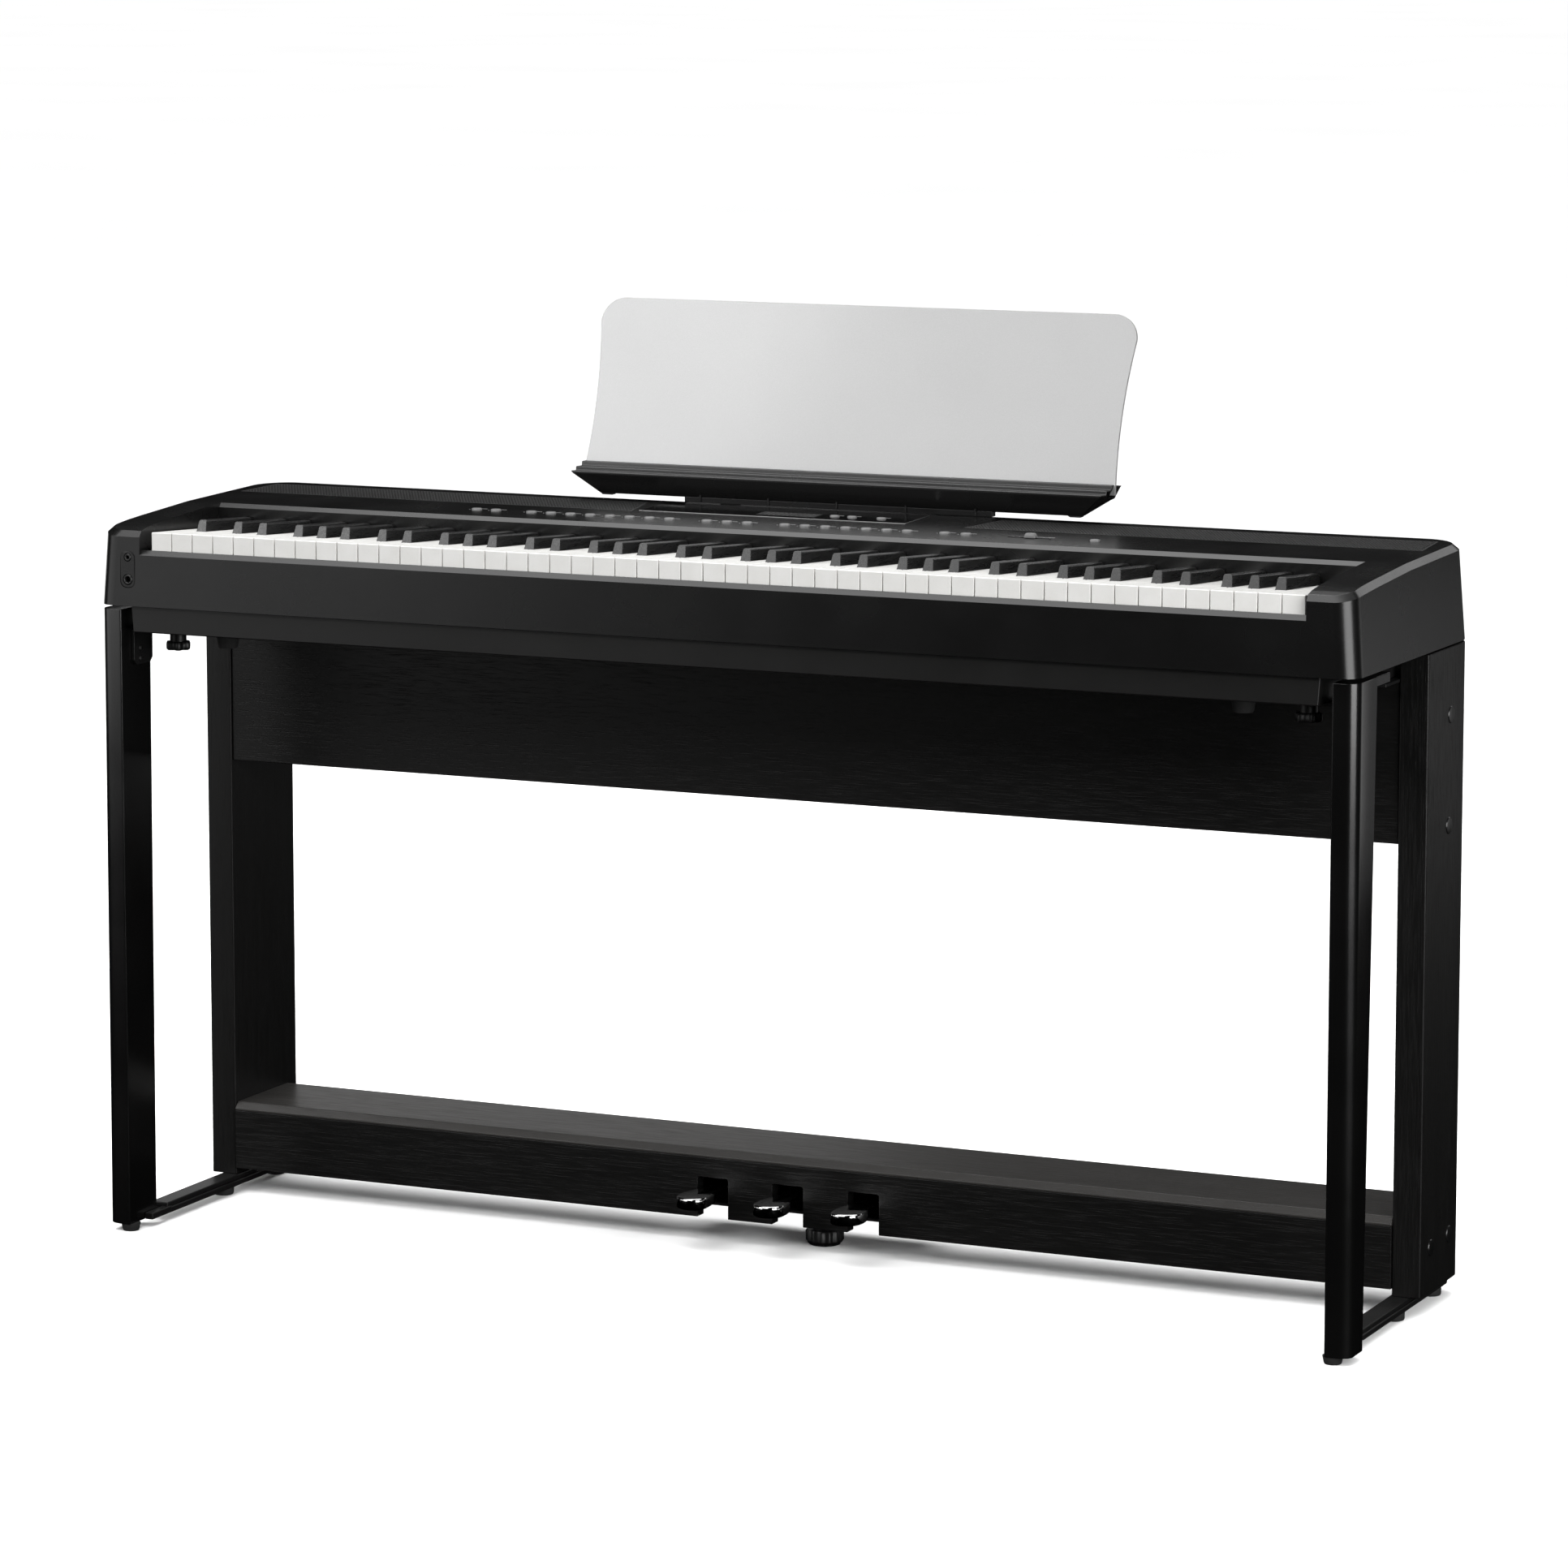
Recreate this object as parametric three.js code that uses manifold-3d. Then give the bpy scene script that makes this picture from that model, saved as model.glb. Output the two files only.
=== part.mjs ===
// A slab digital piano on its own stand: 88 keys, speakers and controls in a two-part case, a lift-off
// music rest, and a stand of front legs, rear posts, floor bars, a back board and a three-pedal shelf.
// Millimetres, +Z up, +X to the player's right, +Y away from the player. The origin is on the floor,
// at the centre of the whole object's outline.
import * as THREE from 'three';
import { mergeVertices } from 'three/addons/utils/BufferGeometryUtils.js';
import { ConvexGeometry } from 'three/addons/geometries/ConvexGeometry.js';
import Module from 'manifold-3d';

const wasm = await Module();
wasm.setup();

// ---------------------------------------------------------------- driving dimensions
const GAP = 0.3; // clearance between touching pieces

const CASE_HALF = 669; // half width of the upper case at its bottom edge
const CASE_FRONT = -9;
const CASE_REAR = 338;
const CASE_BOTTOM = 645.5;
const CASE_FRONT_RADIUS = 20;
const CASE_REAR_RADIUS = 38;
const CASE_WALL = 4;
const TOP_AT_KEYS = 730.6; // height of the panel's plane, carried forward over the white keys' front faces
const TOP_SLOPE = 0.026; // the panel rises to the rear
const CHEEK_AT_KEYS = 722.9; // the cheeks beside the keys are lower in front and rise more steeply
const CHEEK_SLOPE = 0.075;
const TOP_THICKNESS = 5;
const WELL_HALF = 619; // half width of the key well
const PANEL_EDGE = 156; // rear edge of the bevel in front of the control panel
const PANEL_BEVEL = [6, 4]; // how deep and how high that bevel is
const BEVEL = 6.4;
const SLIP_TOP = 702.4; // top of the key slip in front of the keys

const LOWER_HALF = 632;
const LOWER_BOTTOM = 618.5;
const LOWER_DRAFT = 5; // how much the lower case's ends lean in
const LOWER_FRONT = -3;
const LOWER_REAR = 322;

const KEY_PITCH = 23.57; // white key pitch
const KEY_SHIFT = 3.3; // the keyboard sits slightly right of the case's centre
const KEY_GAP = 1;
const KEY_TOP = 720.3; // at the white keys' front edge
const KEY_FALL = 0.06; // the keys' tops fall slightly to the rear
const KEY_BOTTOM = 701;
const KEY_HEAD = 50; // length of the wide front part of a white key
const BLACK_WIDTH = 10.6;
const BLACK_TOP = 732.4; // carried forward over the white keys' front edge
const BLACK_REAR = 216;
const WHITE_REAR = 232;
const LOW_KEYS = 23; // white keys below the separate group
const SEPARATE_KEYS = 5; // white keys that move one by one

const BUTTON_ROW = 197.3; // the row of panel buttons, measured back along the floor
const BUTTON_PROUD = 1.6;
const BUTTON_SIZE = [11, 8.5];

const LEG_INNER = 643.7;
const LEG_OUTER = 669;
const LEG_FRONT = -4;
const LEG_REAR = 54;
const LEG_BOTTOM = 8;
const LEG_TOP = 641;
const POST_INNER = 638.5;
const POST_OUTER = 667.5;
const POST_FRONT = 204;
const POST_REAR = 334;
const POST_BOTTOM = 19;
const POST_TOP = 643;
const BOARD_HALF = POST_INNER - GAP;

const SHELF_FRONT = 202;
const SHELF_REAR = 313;
const SHELF_TOP = 96.5;
const SHELF_UNDER = 88;
const KICK_BOTTOM = 26;
const KICK_THICKNESS = 15;
const PEDAL_PITCH = 83.3;
const NOTCH_WIDTH = 34;
const NOTCH_TOP = 67.7;
const SHAFT_Y = 296;
const SHAFT_Z = 60;
const SHAFT_RADIUS = 4;

const REST_SHEET_Y = 343; // foot of the music rest's sheet
const REST_SHEET_Z = 772;
const REST_LEAN = 17.5; // degrees that the sheet leans back
const REST_HEIGHT = 176;
const SHEET_HALF_THICKNESS = 1.6;
const PIN_X = 120; // the rest's two locating pins
const PIN_ROWS = [322, 328];

const BOLT_X = 605;
const BOLT_FRONT_Y = 43;
const BOLT_REAR_Y = 182;

const topAt = (y) => TOP_AT_KEYS + TOP_SLOPE * y;
const cheekAt = (y) => CHEEK_AT_KEYS + CHEEK_SLOPE * y;
const keyTopAt = (y) => KEY_TOP - KEY_FALL * y;
const blackTopAt = (y) => BLACK_TOP - KEY_FALL * y;
const TOP_ANGLE = Math.atan(TOP_SLOPE);
const LEAN = THREE.MathUtils.degToRad(REST_LEAN);
const OUTLINE_REAR = REST_SHEET_Y + REST_HEIGHT * Math.sin(LEAN) + SHEET_HALF_THICKNESS * Math.cos(LEAN);
const CENTRE_Y = (CASE_FRONT + OUTLINE_REAR) / 2;

// ---------------------------------------------------------------- materials
const finish = (color, roughness, metalness = 0) => () =>
  new THREE.MeshStandardMaterial({ color, roughness, metalness });
const caseBlack = finish(0x1b1b1d, 0.45);
const lowerBlack = finish(0x232322, 0.6);
const woodBlack = finish(0x171615, 0.5);
const steelBlack = finish(0x101011, 0.4, 0.4);
const ivory = finish(0xf2f0ea, 0.3);
const ebony = finish(0x141415, 0.5);
const buttonGrey = finish(0x8d8e90, 0.4);
const grilleGrey = finish(0x2a2a2b, 0.6, 0.3);
const glossBlack = finish(0x08080a, 0.12);
const rubber = finish(0x0d0d0d, 0.85);
const chrome = finish(0xd9dadb, 0.1, 1);
const acrylic = finish(0xeceded, 0.35);
const board = finish(0x1f5a33, 0.6);
const paper = finish(0x3a3834, 0.8);

// ---------------------------------------------------------------- shape helpers
function toSolid(geometry) {
  const bare = geometry.clone();
  bare.deleteAttribute('normal');
  bare.deleteAttribute('uv');
  const merged = mergeVertices(bare, 1e-3);
  const index = merged.index.array;
  const triangles = [];
  for (let i = 0; i < index.length; i += 3) {
    const [a, b, c] = [index[i], index[i + 1], index[i + 2]];
    if (a !== b && b !== c && c !== a) triangles.push(a, b, c);
  }
  const mesh = new wasm.Mesh({
    numProp: 3,
    vertProperties: new Float32Array(merged.attributes.position.array),
    triVerts: new Uint32Array(triangles),
  });
  return new wasm.Manifold(mesh);
}

function fromSolid(solid) {
  const mesh = solid.getMesh();
  const geometry = new THREE.BufferGeometry();
  geometry.setAttribute('position', new THREE.BufferAttribute(new Float32Array(mesh.vertProperties), 3));
  geometry.setIndex(Array.from(mesh.triVerts));
  geometry.computeVertexNormals();
  return geometry;
}

const join = (...pieces) => fromSolid(pieces.map(toSolid).reduce((sum, piece) => sum.add(piece)));
const cut = (base, ...tools) =>
  fromSolid(tools.map(toSolid).reduce((rest, tool) => rest.subtract(tool), toSolid(base)));
const common = (a, b) => fromSolid(toSolid(a).intersect(toSolid(b)));

const block = (x0, x1, y0, y1, z0, z1) =>
  new THREE.BoxGeometry(x1 - x0, y1 - y0, z1 - z0).translate((x0 + x1) / 2, (y0 + y1) / 2, (z0 + z1) / 2);

function outline(points) {
  return new THREE.Shape(points.map(([a, b]) => new THREE.Vector2(a, b)));
}

function extrude(shape, depth, curveSegments = 6) {
  return new THREE.ExtrudeGeometry(shape, { depth, bevelEnabled: false, curveSegments });
}

// An outline in X and Y raised from z0 to z1.
const prismZ = (shape, z0, z1, segments) => extrude(shape, z1 - z0, segments).translate(0, 0, z0);

// An outline in Y and Z pushed from x0 to x1.
function prismX(shape, x0, x1, segments) {
  const turn = new THREE.Matrix4().makeBasis(
    new THREE.Vector3(0, 1, 0), new THREE.Vector3(0, 0, 1), new THREE.Vector3(1, 0, 0));
  return extrude(shape, x1 - x0, segments).applyMatrix4(turn).translate(x0, 0, 0);
}

// An outline in X and Z pushed from y0 to y1.
function prismY(shape, y0, y1, segments) {
  const turn = new THREE.Matrix4().makeBasis(
    new THREE.Vector3(1, 0, 0), new THREE.Vector3(0, 0, 1), new THREE.Vector3(0, -1, 0));
  return extrude(shape, y1 - y0, segments).applyMatrix4(turn).translate(0, y1, 0);
}

// A rectangle with a radius at each corner: front left, front right, rear right, rear left.
function rounded(x0, x1, y0, y1, [frontLeft, frontRight, rearRight, rearLeft]) {
  const shape = new THREE.Shape();
  shape.moveTo(x0 + frontLeft, y0);
  shape.lineTo(x1 - frontRight, y0);
  if (frontRight) shape.absarc(x1 - frontRight, y0 + frontRight, frontRight, -Math.PI / 2, 0, false);
  shape.lineTo(x1, y1 - rearRight);
  if (rearRight) shape.absarc(x1 - rearRight, y1 - rearRight, rearRight, 0, Math.PI / 2, false);
  shape.lineTo(x0 + rearLeft, y1);
  if (rearLeft) shape.absarc(x0 + rearLeft, y1 - rearLeft, rearLeft, Math.PI / 2, Math.PI, false);
  shape.lineTo(x0, y0 + frontLeft);
  if (frontLeft) shape.absarc(x0 + frontLeft, y0 + frontLeft, frontLeft, Math.PI, Math.PI * 1.5, false);
  return shape;
}

// An outline raised through levels: each level is a function that places an outline point.
function loft(shape, levels, segments = 6) {
  const last = levels.length - 1;
  const geometry = new THREE.ExtrudeGeometry(shape, {
    depth: last, steps: last, bevelEnabled: false, curveSegments: segments,
  });
  const position = geometry.attributes.position;
  for (let i = 0; i < position.count; i += 1) {
    const level = levels[Math.round(position.getZ(i))];
    position.setXYZ(i, ...level(position.getX(i), position.getY(i)));
  }
  return geometry;
}

const rod = (x, y, z0, z1, radius, segments = 20) =>
  new THREE.CylinderGeometry(radius, radius, z1 - z0, segments)
    .rotateX(Math.PI / 2).translate(x, y, (z0 + z1) / 2);

const rodX = (x0, x1, y, z, radius, segments = 20) =>
  new THREE.CylinderGeometry(radius, radius, x1 - x0, segments)
    .rotateZ(Math.PI / 2).translate((x0 + x1) / 2, y, z);

const rodY = (x, y0, y1, z, radius, segments = 16) =>
  new THREE.CylinderGeometry(radius, radius, y1 - y0, segments).translate(x, (y0 + y1) / 2, z);

// A turned piece: [radius, height] pairs from the bottom of the axis to its top.
const turned = (profile, segments = 20) =>
  new THREE.LatheGeometry(profile.map(([r, z]) => new THREE.Vector2(r, z)), segments).rotateX(Math.PI / 2);

const mirrored = (geometry) => {
  const flipped = geometry.index ? geometry.toNonIndexed() : geometry.clone();
  const position = flipped.attributes.position;
  for (let i = 0; i < position.count; i += 3) {
    const corner = [0, 1, 2].map((k) => [-position.getX(i + k), position.getY(i + k), position.getZ(i + k)]);
    position.setXYZ(i, ...corner[0]);
    position.setXYZ(i + 1, ...corner[2]);
    position.setXYZ(i + 2, ...corner[1]);
  }
  return flipped;
};

const piano = new THREE.Group();
piano.position.y = -CENTRE_Y;

function add(name, geometry, material, parent = piano) {
  const mesh = new THREE.Mesh(geometry, material());
  mesh.name = name;
  parent.add(mesh);
  return mesh;
}

// ---------------------------------------------------------------- controls on the top plane
// Button groups: the first button's x, how many, and the last button's x.
const BUTTON_GROUPS = {
  buttons_recorder: [-344.3, 2, -322.5],
  buttons_voices: [-282.3, 8, -127.6],
  buttons_functions: [-86.2, 3, -41.8],
  buttons_rhythm: [-0.8, 7, 131.5],
  buttons_tempo: [171.5, 2, 194],
};
const DISPLAY_BUTTONS = [19.6, 38.6, 70.6];
const DISPLAY_ROW = 272.6;
const POWER_X = 329.2;
const SLIDER_X = 262.2;
const SLIDER_SLOT = [238, 284];
const DISPLAY_BOX = [-186, 106, 249, 310];
const GRILLE_INNER = { right: 172, left: 192 }; // inner ends of the two grilles, from the centre
const GRILLE_OUTER = 646;
const GRILLE_ROWS = [243.2, 308.8];
const PLATE_DEPTH = 1.8; // recess that the display window and the grilles sit in

const spread = ([first, count, last]) =>
  Array.from({ length: count }, (_, i) => first + ((last - first) * i) / (count - 1));

function oval(x, width, depth) {
  const half = (width - depth) / 2;
  const shape = new THREE.Shape();
  shape.absarc(x + half, 0, depth / 2, -Math.PI / 2, Math.PI / 2, false);
  shape.absarc(x - half, 0, depth / 2, Math.PI / 2, Math.PI * 1.5, false);
  return shape;
}

// Places a geometry drawn on a level plane at z = 0 onto the sloping top, over the line y.
const onTop = (geometry, y) => geometry.rotateX(TOP_ANGLE).translate(0, y, topAt(y));

const opening = (x, y, width = BUTTON_SIZE[0], depth = BUTTON_SIZE[1]) =>
  onTop(extrude(oval(x, width + 1, depth + 1), 12, 3).translate(0, 0, -9), y);

function buttonStrip(places, y, width = BUTTON_SIZE[0], depth = BUTTON_SIZE[1]) {
  const under = -TOP_THICKNESS - 1.4;
  const strip = block(places[0] - 7, places.at(-1) + 7, -5.5, 5.5, under - 2, under);
  const caps = places.map((x) => extrude(oval(x, width, depth), BUTTON_PROUD - under + 0.5, 3)
    .translate(0, 0, under - 0.5));
  return onTop(join(strip, ...caps), y);
}

// ---------------------------------------------------------------- instrument case
function caseLevel(side, front, rear, height) {
  const depth = CASE_REAR - CASE_FRONT;
  return (x, y) => {
    const placed = CASE_FRONT + front + ((y - CASE_FRONT) * (depth - front - rear)) / depth;
    return [(x * (CASE_HALF - side)) / CASE_HALF, placed, height(placed)];
  };
}

function upperCase() {
  const plan = rounded(-CASE_HALF, CASE_HALF, CASE_FRONT, CASE_REAR,
    [CASE_FRONT_RADIUS, CASE_FRONT_RADIUS, CASE_REAR_RADIUS, CASE_REAR_RADIUS]);
  const outer = loft(plan, [
    caseLevel(0, 0, 0, () => CASE_BOTTOM),
    caseLevel(7.5, 2, 3, (y) => topAt(y) - 4.2),
    caseLevel(14, 6.5, 7, topAt),
  ], 6);
  const low = CASE_BOTTOM - 1;
  const rearRoof = (y) => topAt(y) - TOP_THICKNESS;
  const rearRoom = prismX(outline([
    [PANEL_EDGE + CASE_WALL, low], [CASE_REAR - 8, low],
    [CASE_REAR - 14, rearRoof(CASE_REAR - 14)], [PANEL_EDGE + CASE_WALL, rearRoof(PANEL_EDGE + CASE_WALL)],
  ]), -632, 632);
  const wall = PANEL_EDGE - PANEL_BEVEL[0];
  const bevelFoot = topAt(PANEL_EDGE) - PANEL_BEVEL[1];
  const lipFoot = bevelFoot - 3;
  const slipRear = CASE_FRONT + BEVEL;
  const well = prismX(outline([
    [slipRear, low], [PANEL_EDGE + CASE_WALL + 1, low], [PANEL_EDGE + CASE_WALL + 1, lipFoot],
    [wall, lipFoot], [wall, bevelFoot], [PANEL_EDGE + 3, topAt(PANEL_EDGE) + 2],
    [CASE_FRONT - 8, 760], [CASE_FRONT - 8, SLIP_TOP - BEVEL - 8], [slipRear, SLIP_TOP],
  ]), -WELL_HALF, WELL_HALF);
  const cheekTop = prismX(outline([
    [CASE_FRONT - 8, cheekAt(CASE_FRONT - 8)], [PANEL_EDGE, cheekAt(PANEL_EDGE)], [PANEL_EDGE, 760],
    [CASE_FRONT - 8, 760],
  ]), -CASE_HALF - 1, CASE_HALF + 1);
  const pocket = block(WELL_HALF + CASE_WALL, CASE_HALF - 20, 6, 190, low, 713);
  const grilleRight = grillePlate(GRILLE_INNER.right, PLATE_DEPTH + 5, GAP);
  const grilleLeft = mirrored(grillePlate(GRILLE_INNER.left, PLATE_DEPTH + 5, GAP));
  const display = onTop(block(DISPLAY_BOX[0] - 0.3, DISPLAY_BOX[1] + 0.3, -0.3,
    DISPLAY_BOX[3] - DISPLAY_BOX[2] + 0.3, -PLATE_DEPTH, 6), DISPLAY_BOX[2]);
  const speakerHole = onTop(extrude(oval(0, 104, 58), 14, 6).translate(0, 0, -10), 276);
  const slots = [];
  for (const group of Object.values(BUTTON_GROUPS)) {
    for (const x of spread(group)) slots.push(opening(x, BUTTON_ROW));
  }
  for (const x of DISPLAY_BUTTONS) slots.push(opening(x, DISPLAY_ROW, 11, 8));
  slots.push(opening(POWER_X, BUTTON_ROW, 11, 9));
  slots.push(onTop(block(SLIDER_SLOT[0], SLIDER_SLOT[1], -1.8, 1.8, -9, 6), BUTTON_ROW));
  const restSlots = [-1, 1].map((side) =>
    block(side * PIN_X - 10.5, side * PIN_X + 10.5, PIN_ROWS[0] - 0.5, PIN_ROWS[1] + 0.5, 722, 760));
  const ports = block(-61, 141, CASE_REAR - 20, CASE_REAR + 4, 658, 692);
  const jacks = prismY(rounded(-641, -624, 664, 701, [7, 7, 7, 7]), CASE_FRONT - 4, 10, 4);
  return cut(outer, cheekTop, rearRoom, well, pocket, mirrored(pocket), grilleRight, grilleLeft, display,
    speakerHole.clone().translate(405, 0, 0), speakerHole.translate(-405, 0, 0),
    ...slots, ...restSlots, ports, jacks);
}

function lowerCase() {
  const shell = (inset, floor, top) => {
    const [half, footHalf] = [LOWER_HALF - inset, LOWER_HALF - LOWER_DRAFT - inset];
    const section = outline([[-footHalf, floor], [footHalf, floor], [half, top], [-half, top]]);
    return prismY(section, LOWER_FRONT + inset, LOWER_REAR - inset);
  };
  const roof = CASE_BOTTOM - GAP;
  const holes = [];
  for (const x of [-BOLT_X, BOLT_X]) {
    for (const y of [BOLT_FRONT_Y, BOLT_REAR_Y]) holes.push(rod(x, y, 610, 630, 3.4, 12));
  }
  return cut(shell(0, LOWER_BOTTOM, roof), shell(3, LOWER_BOTTOM + 4, roof + 1), ...holes);
}

// A right-hand grille with a slanted inner end, standing on the floor of its recess.
function grillePlate(inner, height, room = 0) {
  const back = GRILLE_ROWS[1] - GRILLE_ROWS[0];
  const shape = outline([
    [inner - room, -room], [GRILLE_OUTER + room, -room], [GRILLE_OUTER - 6 + room, back + room],
    [inner + 14 - room, back + room],
  ]);
  return onTop(extrude(shape, height).translate(0, 0, -PLATE_DEPTH), GRILLE_ROWS[0]);
}

function jackPanel() {
  const plate = prismY(rounded(-640.7, -624.3, 664.3, 700.7, [6.7, 6.7, 6.7, 6.7]), -8, -3, 4);
  return cut(plate, rodY(-632.5, -20, 10, 694.8, 1.9, 12), rodY(-632.5, -20, 10, 672.4, 3.25, 16));
}

function connectorPanel() {
  const rear = 331;
  const plate = block(-60.7, 140.7, rear - 3, rear, 658.3, 691.7);
  const usb = block(-50, -37, rear - 10, rear + 10, 668, 680);
  const usbSmall = block(-24, -12, rear - 10, rear + 10, 671, 677);
  const sockets = [10, 34, 58, 82].map((x) => rodY(x, rear - 10, rear + 10, 674, 3.3, 12));
  return cut(plate, usb, usbSmall, ...sockets, rodY(122, rear - 10, rear + 10, 674, 4.2, 14));
}

add('upper_case', upperCase(), caseBlack);
add('lower_case', lowerCase(), lowerBlack);
add('jack_panel', jackPanel(), glossBlack);
add('connector_panel', connectorPanel(), steelBlack);

for (const [side, inner] of Object.entries(GRILLE_INNER)) {
  const plate = grillePlate(inner, PLATE_DEPTH - GAP).translate(0, 0, GAP);
  add(`speaker_grille_${side}`, side === 'left' ? mirrored(plate) : plate, grilleGrey);
}
add('display_window', onTop(cut(
  block(DISPLAY_BOX[0], DISPLAY_BOX[1], 0, DISPLAY_BOX[3] - DISPLAY_BOX[2], -PLATE_DEPTH + GAP, 0.3),
  ...DISPLAY_BUTTONS.map((x) => extrude(oval(x, 12, 9), 8, 3).translate(0, DISPLAY_ROW - DISPLAY_BOX[2], -4)),
), DISPLAY_BOX[2]), glossBlack);

// An oval cone speaker hanging under the panel.
const speaker = turned([[0, -40], [26, -40], [26, -26], [34, -22], [56, -8], [56, 0], [50, 0], [16, -18], [0, -14]])
  .scale(1, 0.68, 1).rotateX(TOP_ANGLE).translate(405, 276, topAt(276) - TOP_THICKNESS - 1.5);
add('speaker_right', speaker, paper);
add('speaker_left', speaker.clone().translate(-810, 0, 0), paper);

// ---------------------------------------------------------------- key action
// Chassis: front rail that the keys land on, a floor, and the rear rail that carries the hinge.
add('key_frame', prismX(outline([
  [8, 649], [228, 649], [228, 696], [204, 696], [204, 653], [26, 653], [26, 687], [8, 687],
]), -612, 616), steelBlack);

add('main_board', join(
  block(-160, 160, 236, 316, 632, 634),
  ...[[-150, 244], [150, 244], [-150, 308], [150, 308]].map(([x, y]) => rod(x, y, 622.8, 632.5, 4, 8)),
), board);

// Offset of each black key from the gap between its two white keys; index 0 is the gap above C.
const BLACK_OFFSET = [-2.4, 2.4, null, -3.2, 0, 3.2, null];
const WHITE_COUNT = 52;
const FIRST_NOTE = 5; // the lowest white key is an A
const keyLeft = (i) => KEY_SHIFT + (i - WHITE_COUNT / 2) * KEY_PITCH;
const noteOf = (i) => (i + FIRST_NOTE) % 7;
const blackAbove = (i) => (i < 0 || i >= WHITE_COUNT - 1 ? null : BLACK_OFFSET[noteOf(i)]);
const blackCentre = (i) => keyLeft(i + 1) + blackAbove(i);

// How far the tail is cut back on the left or right to clear a black key.
function whiteEdges(i) {
  const clear = BLACK_WIDTH / 2 + KEY_GAP;
  const left = keyLeft(i) + KEY_GAP / 2;
  const right = keyLeft(i + 1) - KEY_GAP / 2;
  const tailLeft = blackAbove(i - 1) === null ? left : blackCentre(i - 1) + clear;
  const tailRight = blackAbove(i) === null ? right : blackCentre(i) - clear;
  return { left, right, tailLeft, tailRight };
}

// White keys i to j as one comb, joined by a bar behind the hinge line.
function whiteKeys(i, j) {
  const barFront = 221;
  const points = [[whiteEdges(i).tailLeft, WHITE_REAR]];
  for (let key = i; key <= j; key += 1) {
    const { left, right, tailLeft, tailRight } = whiteEdges(key);
    if (key > i) points.push([tailLeft, barFront]);
    if (tailLeft !== left) points.push([tailLeft, KEY_HEAD - KEY_GAP], [left, KEY_HEAD - KEY_GAP]);
    points.push([left, 0], [right, 0]);
    if (tailRight !== right) points.push([right, KEY_HEAD - KEY_GAP], [tailRight, KEY_HEAD - KEY_GAP]);
    points.push([tailRight, key < j ? barFront : WHITE_REAR]);
  }
  const plan = prismZ(outline(points), KEY_BOTTOM - 1, KEY_TOP + 1);
  const sideView = prismX(outline([
    [-1, KEY_BOTTOM], [WHITE_REAR + 1, KEY_BOTTOM], [WHITE_REAR + 1, keyTopAt(WHITE_REAR + 1)],
    [-1, keyTopAt(-1)],
  ]), keyLeft(i) - 5, keyLeft(j + 1) + 5);
  return common(plan, sideView);
}

// The black keys above white keys i to j, joined by a bar over the white keys' tails.
function blackKeys(i, j) {
  const centres = [];
  for (let key = i; key <= j; key += 1) if (blackAbove(key) !== null) centres.push(blackCentre(key));
  const profile = outline([
    [KEY_HEAD, 703], [BLACK_REAR, 703], [BLACK_REAR, 719], [148, 719], [145, blackTopAt(145)],
    [KEY_HEAD + 5, blackTopAt(KEY_HEAD + 5)], [KEY_HEAD, keyTopAt(KEY_HEAD)],
  ]);
  const keys = centres.map((x) => prismX(profile, x - BLACK_WIDTH / 2, x + BLACK_WIDTH / 2));
  if (centres.length === 1) return keys[0];
  return join(...keys, block(centres[0], centres.at(-1), 198, BLACK_REAR, 713, 719));
}

const LETTERS = ['c', 'd', 'e', 'f', 'g', 'a', 'b'];
const firstSeparate = LOW_KEYS;
const lastSeparate = LOW_KEYS + SEPARATE_KEYS - 1;
add('white_keys_low', whiteKeys(0, firstSeparate - 1), ivory);
add('black_keys_low', blackKeys(0, firstSeparate - 1), ebony);
for (let key = firstSeparate; key <= lastSeparate; key += 1) {
  const letter = LETTERS[noteOf(key)];
  add(`key_${letter}4`, whiteKeys(key, key), ivory);
  if (blackAbove(key) !== null && key < lastSeparate) add(`key_${letter}4_sharp`, blackKeys(key, key), ebony);
}
add('white_keys_high', whiteKeys(lastSeparate + 1, WHITE_COUNT - 1), ivory);
add('black_keys_high', blackKeys(lastSeparate, WHITE_COUNT - 2), ebony);

// ---------------------------------------------------------------- buttons and slider
for (const [name, group] of Object.entries(BUTTON_GROUPS)) {
  add(name, buttonStrip(spread(group), BUTTON_ROW), buttonGrey);
}
add('buttons_display', buttonStrip(DISPLAY_BUTTONS, DISPLAY_ROW, 10, 7), buttonGrey);
add('power_button', buttonStrip([POWER_X], BUTTON_ROW, 10, 8), buttonGrey);
add('volume_slider', onTop(join(
  block(SLIDER_X - 6, SLIDER_X + 6, -4, 4, 0.4, 5),
  block(SLIDER_X - 3, SLIDER_X + 3, -1.4, 1.4, -7, 1),
  block(SLIDER_X - 6, SLIDER_X + 6, -4, 4, -9, -6.5),
), BUTTON_ROW), buttonGrey);

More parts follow.
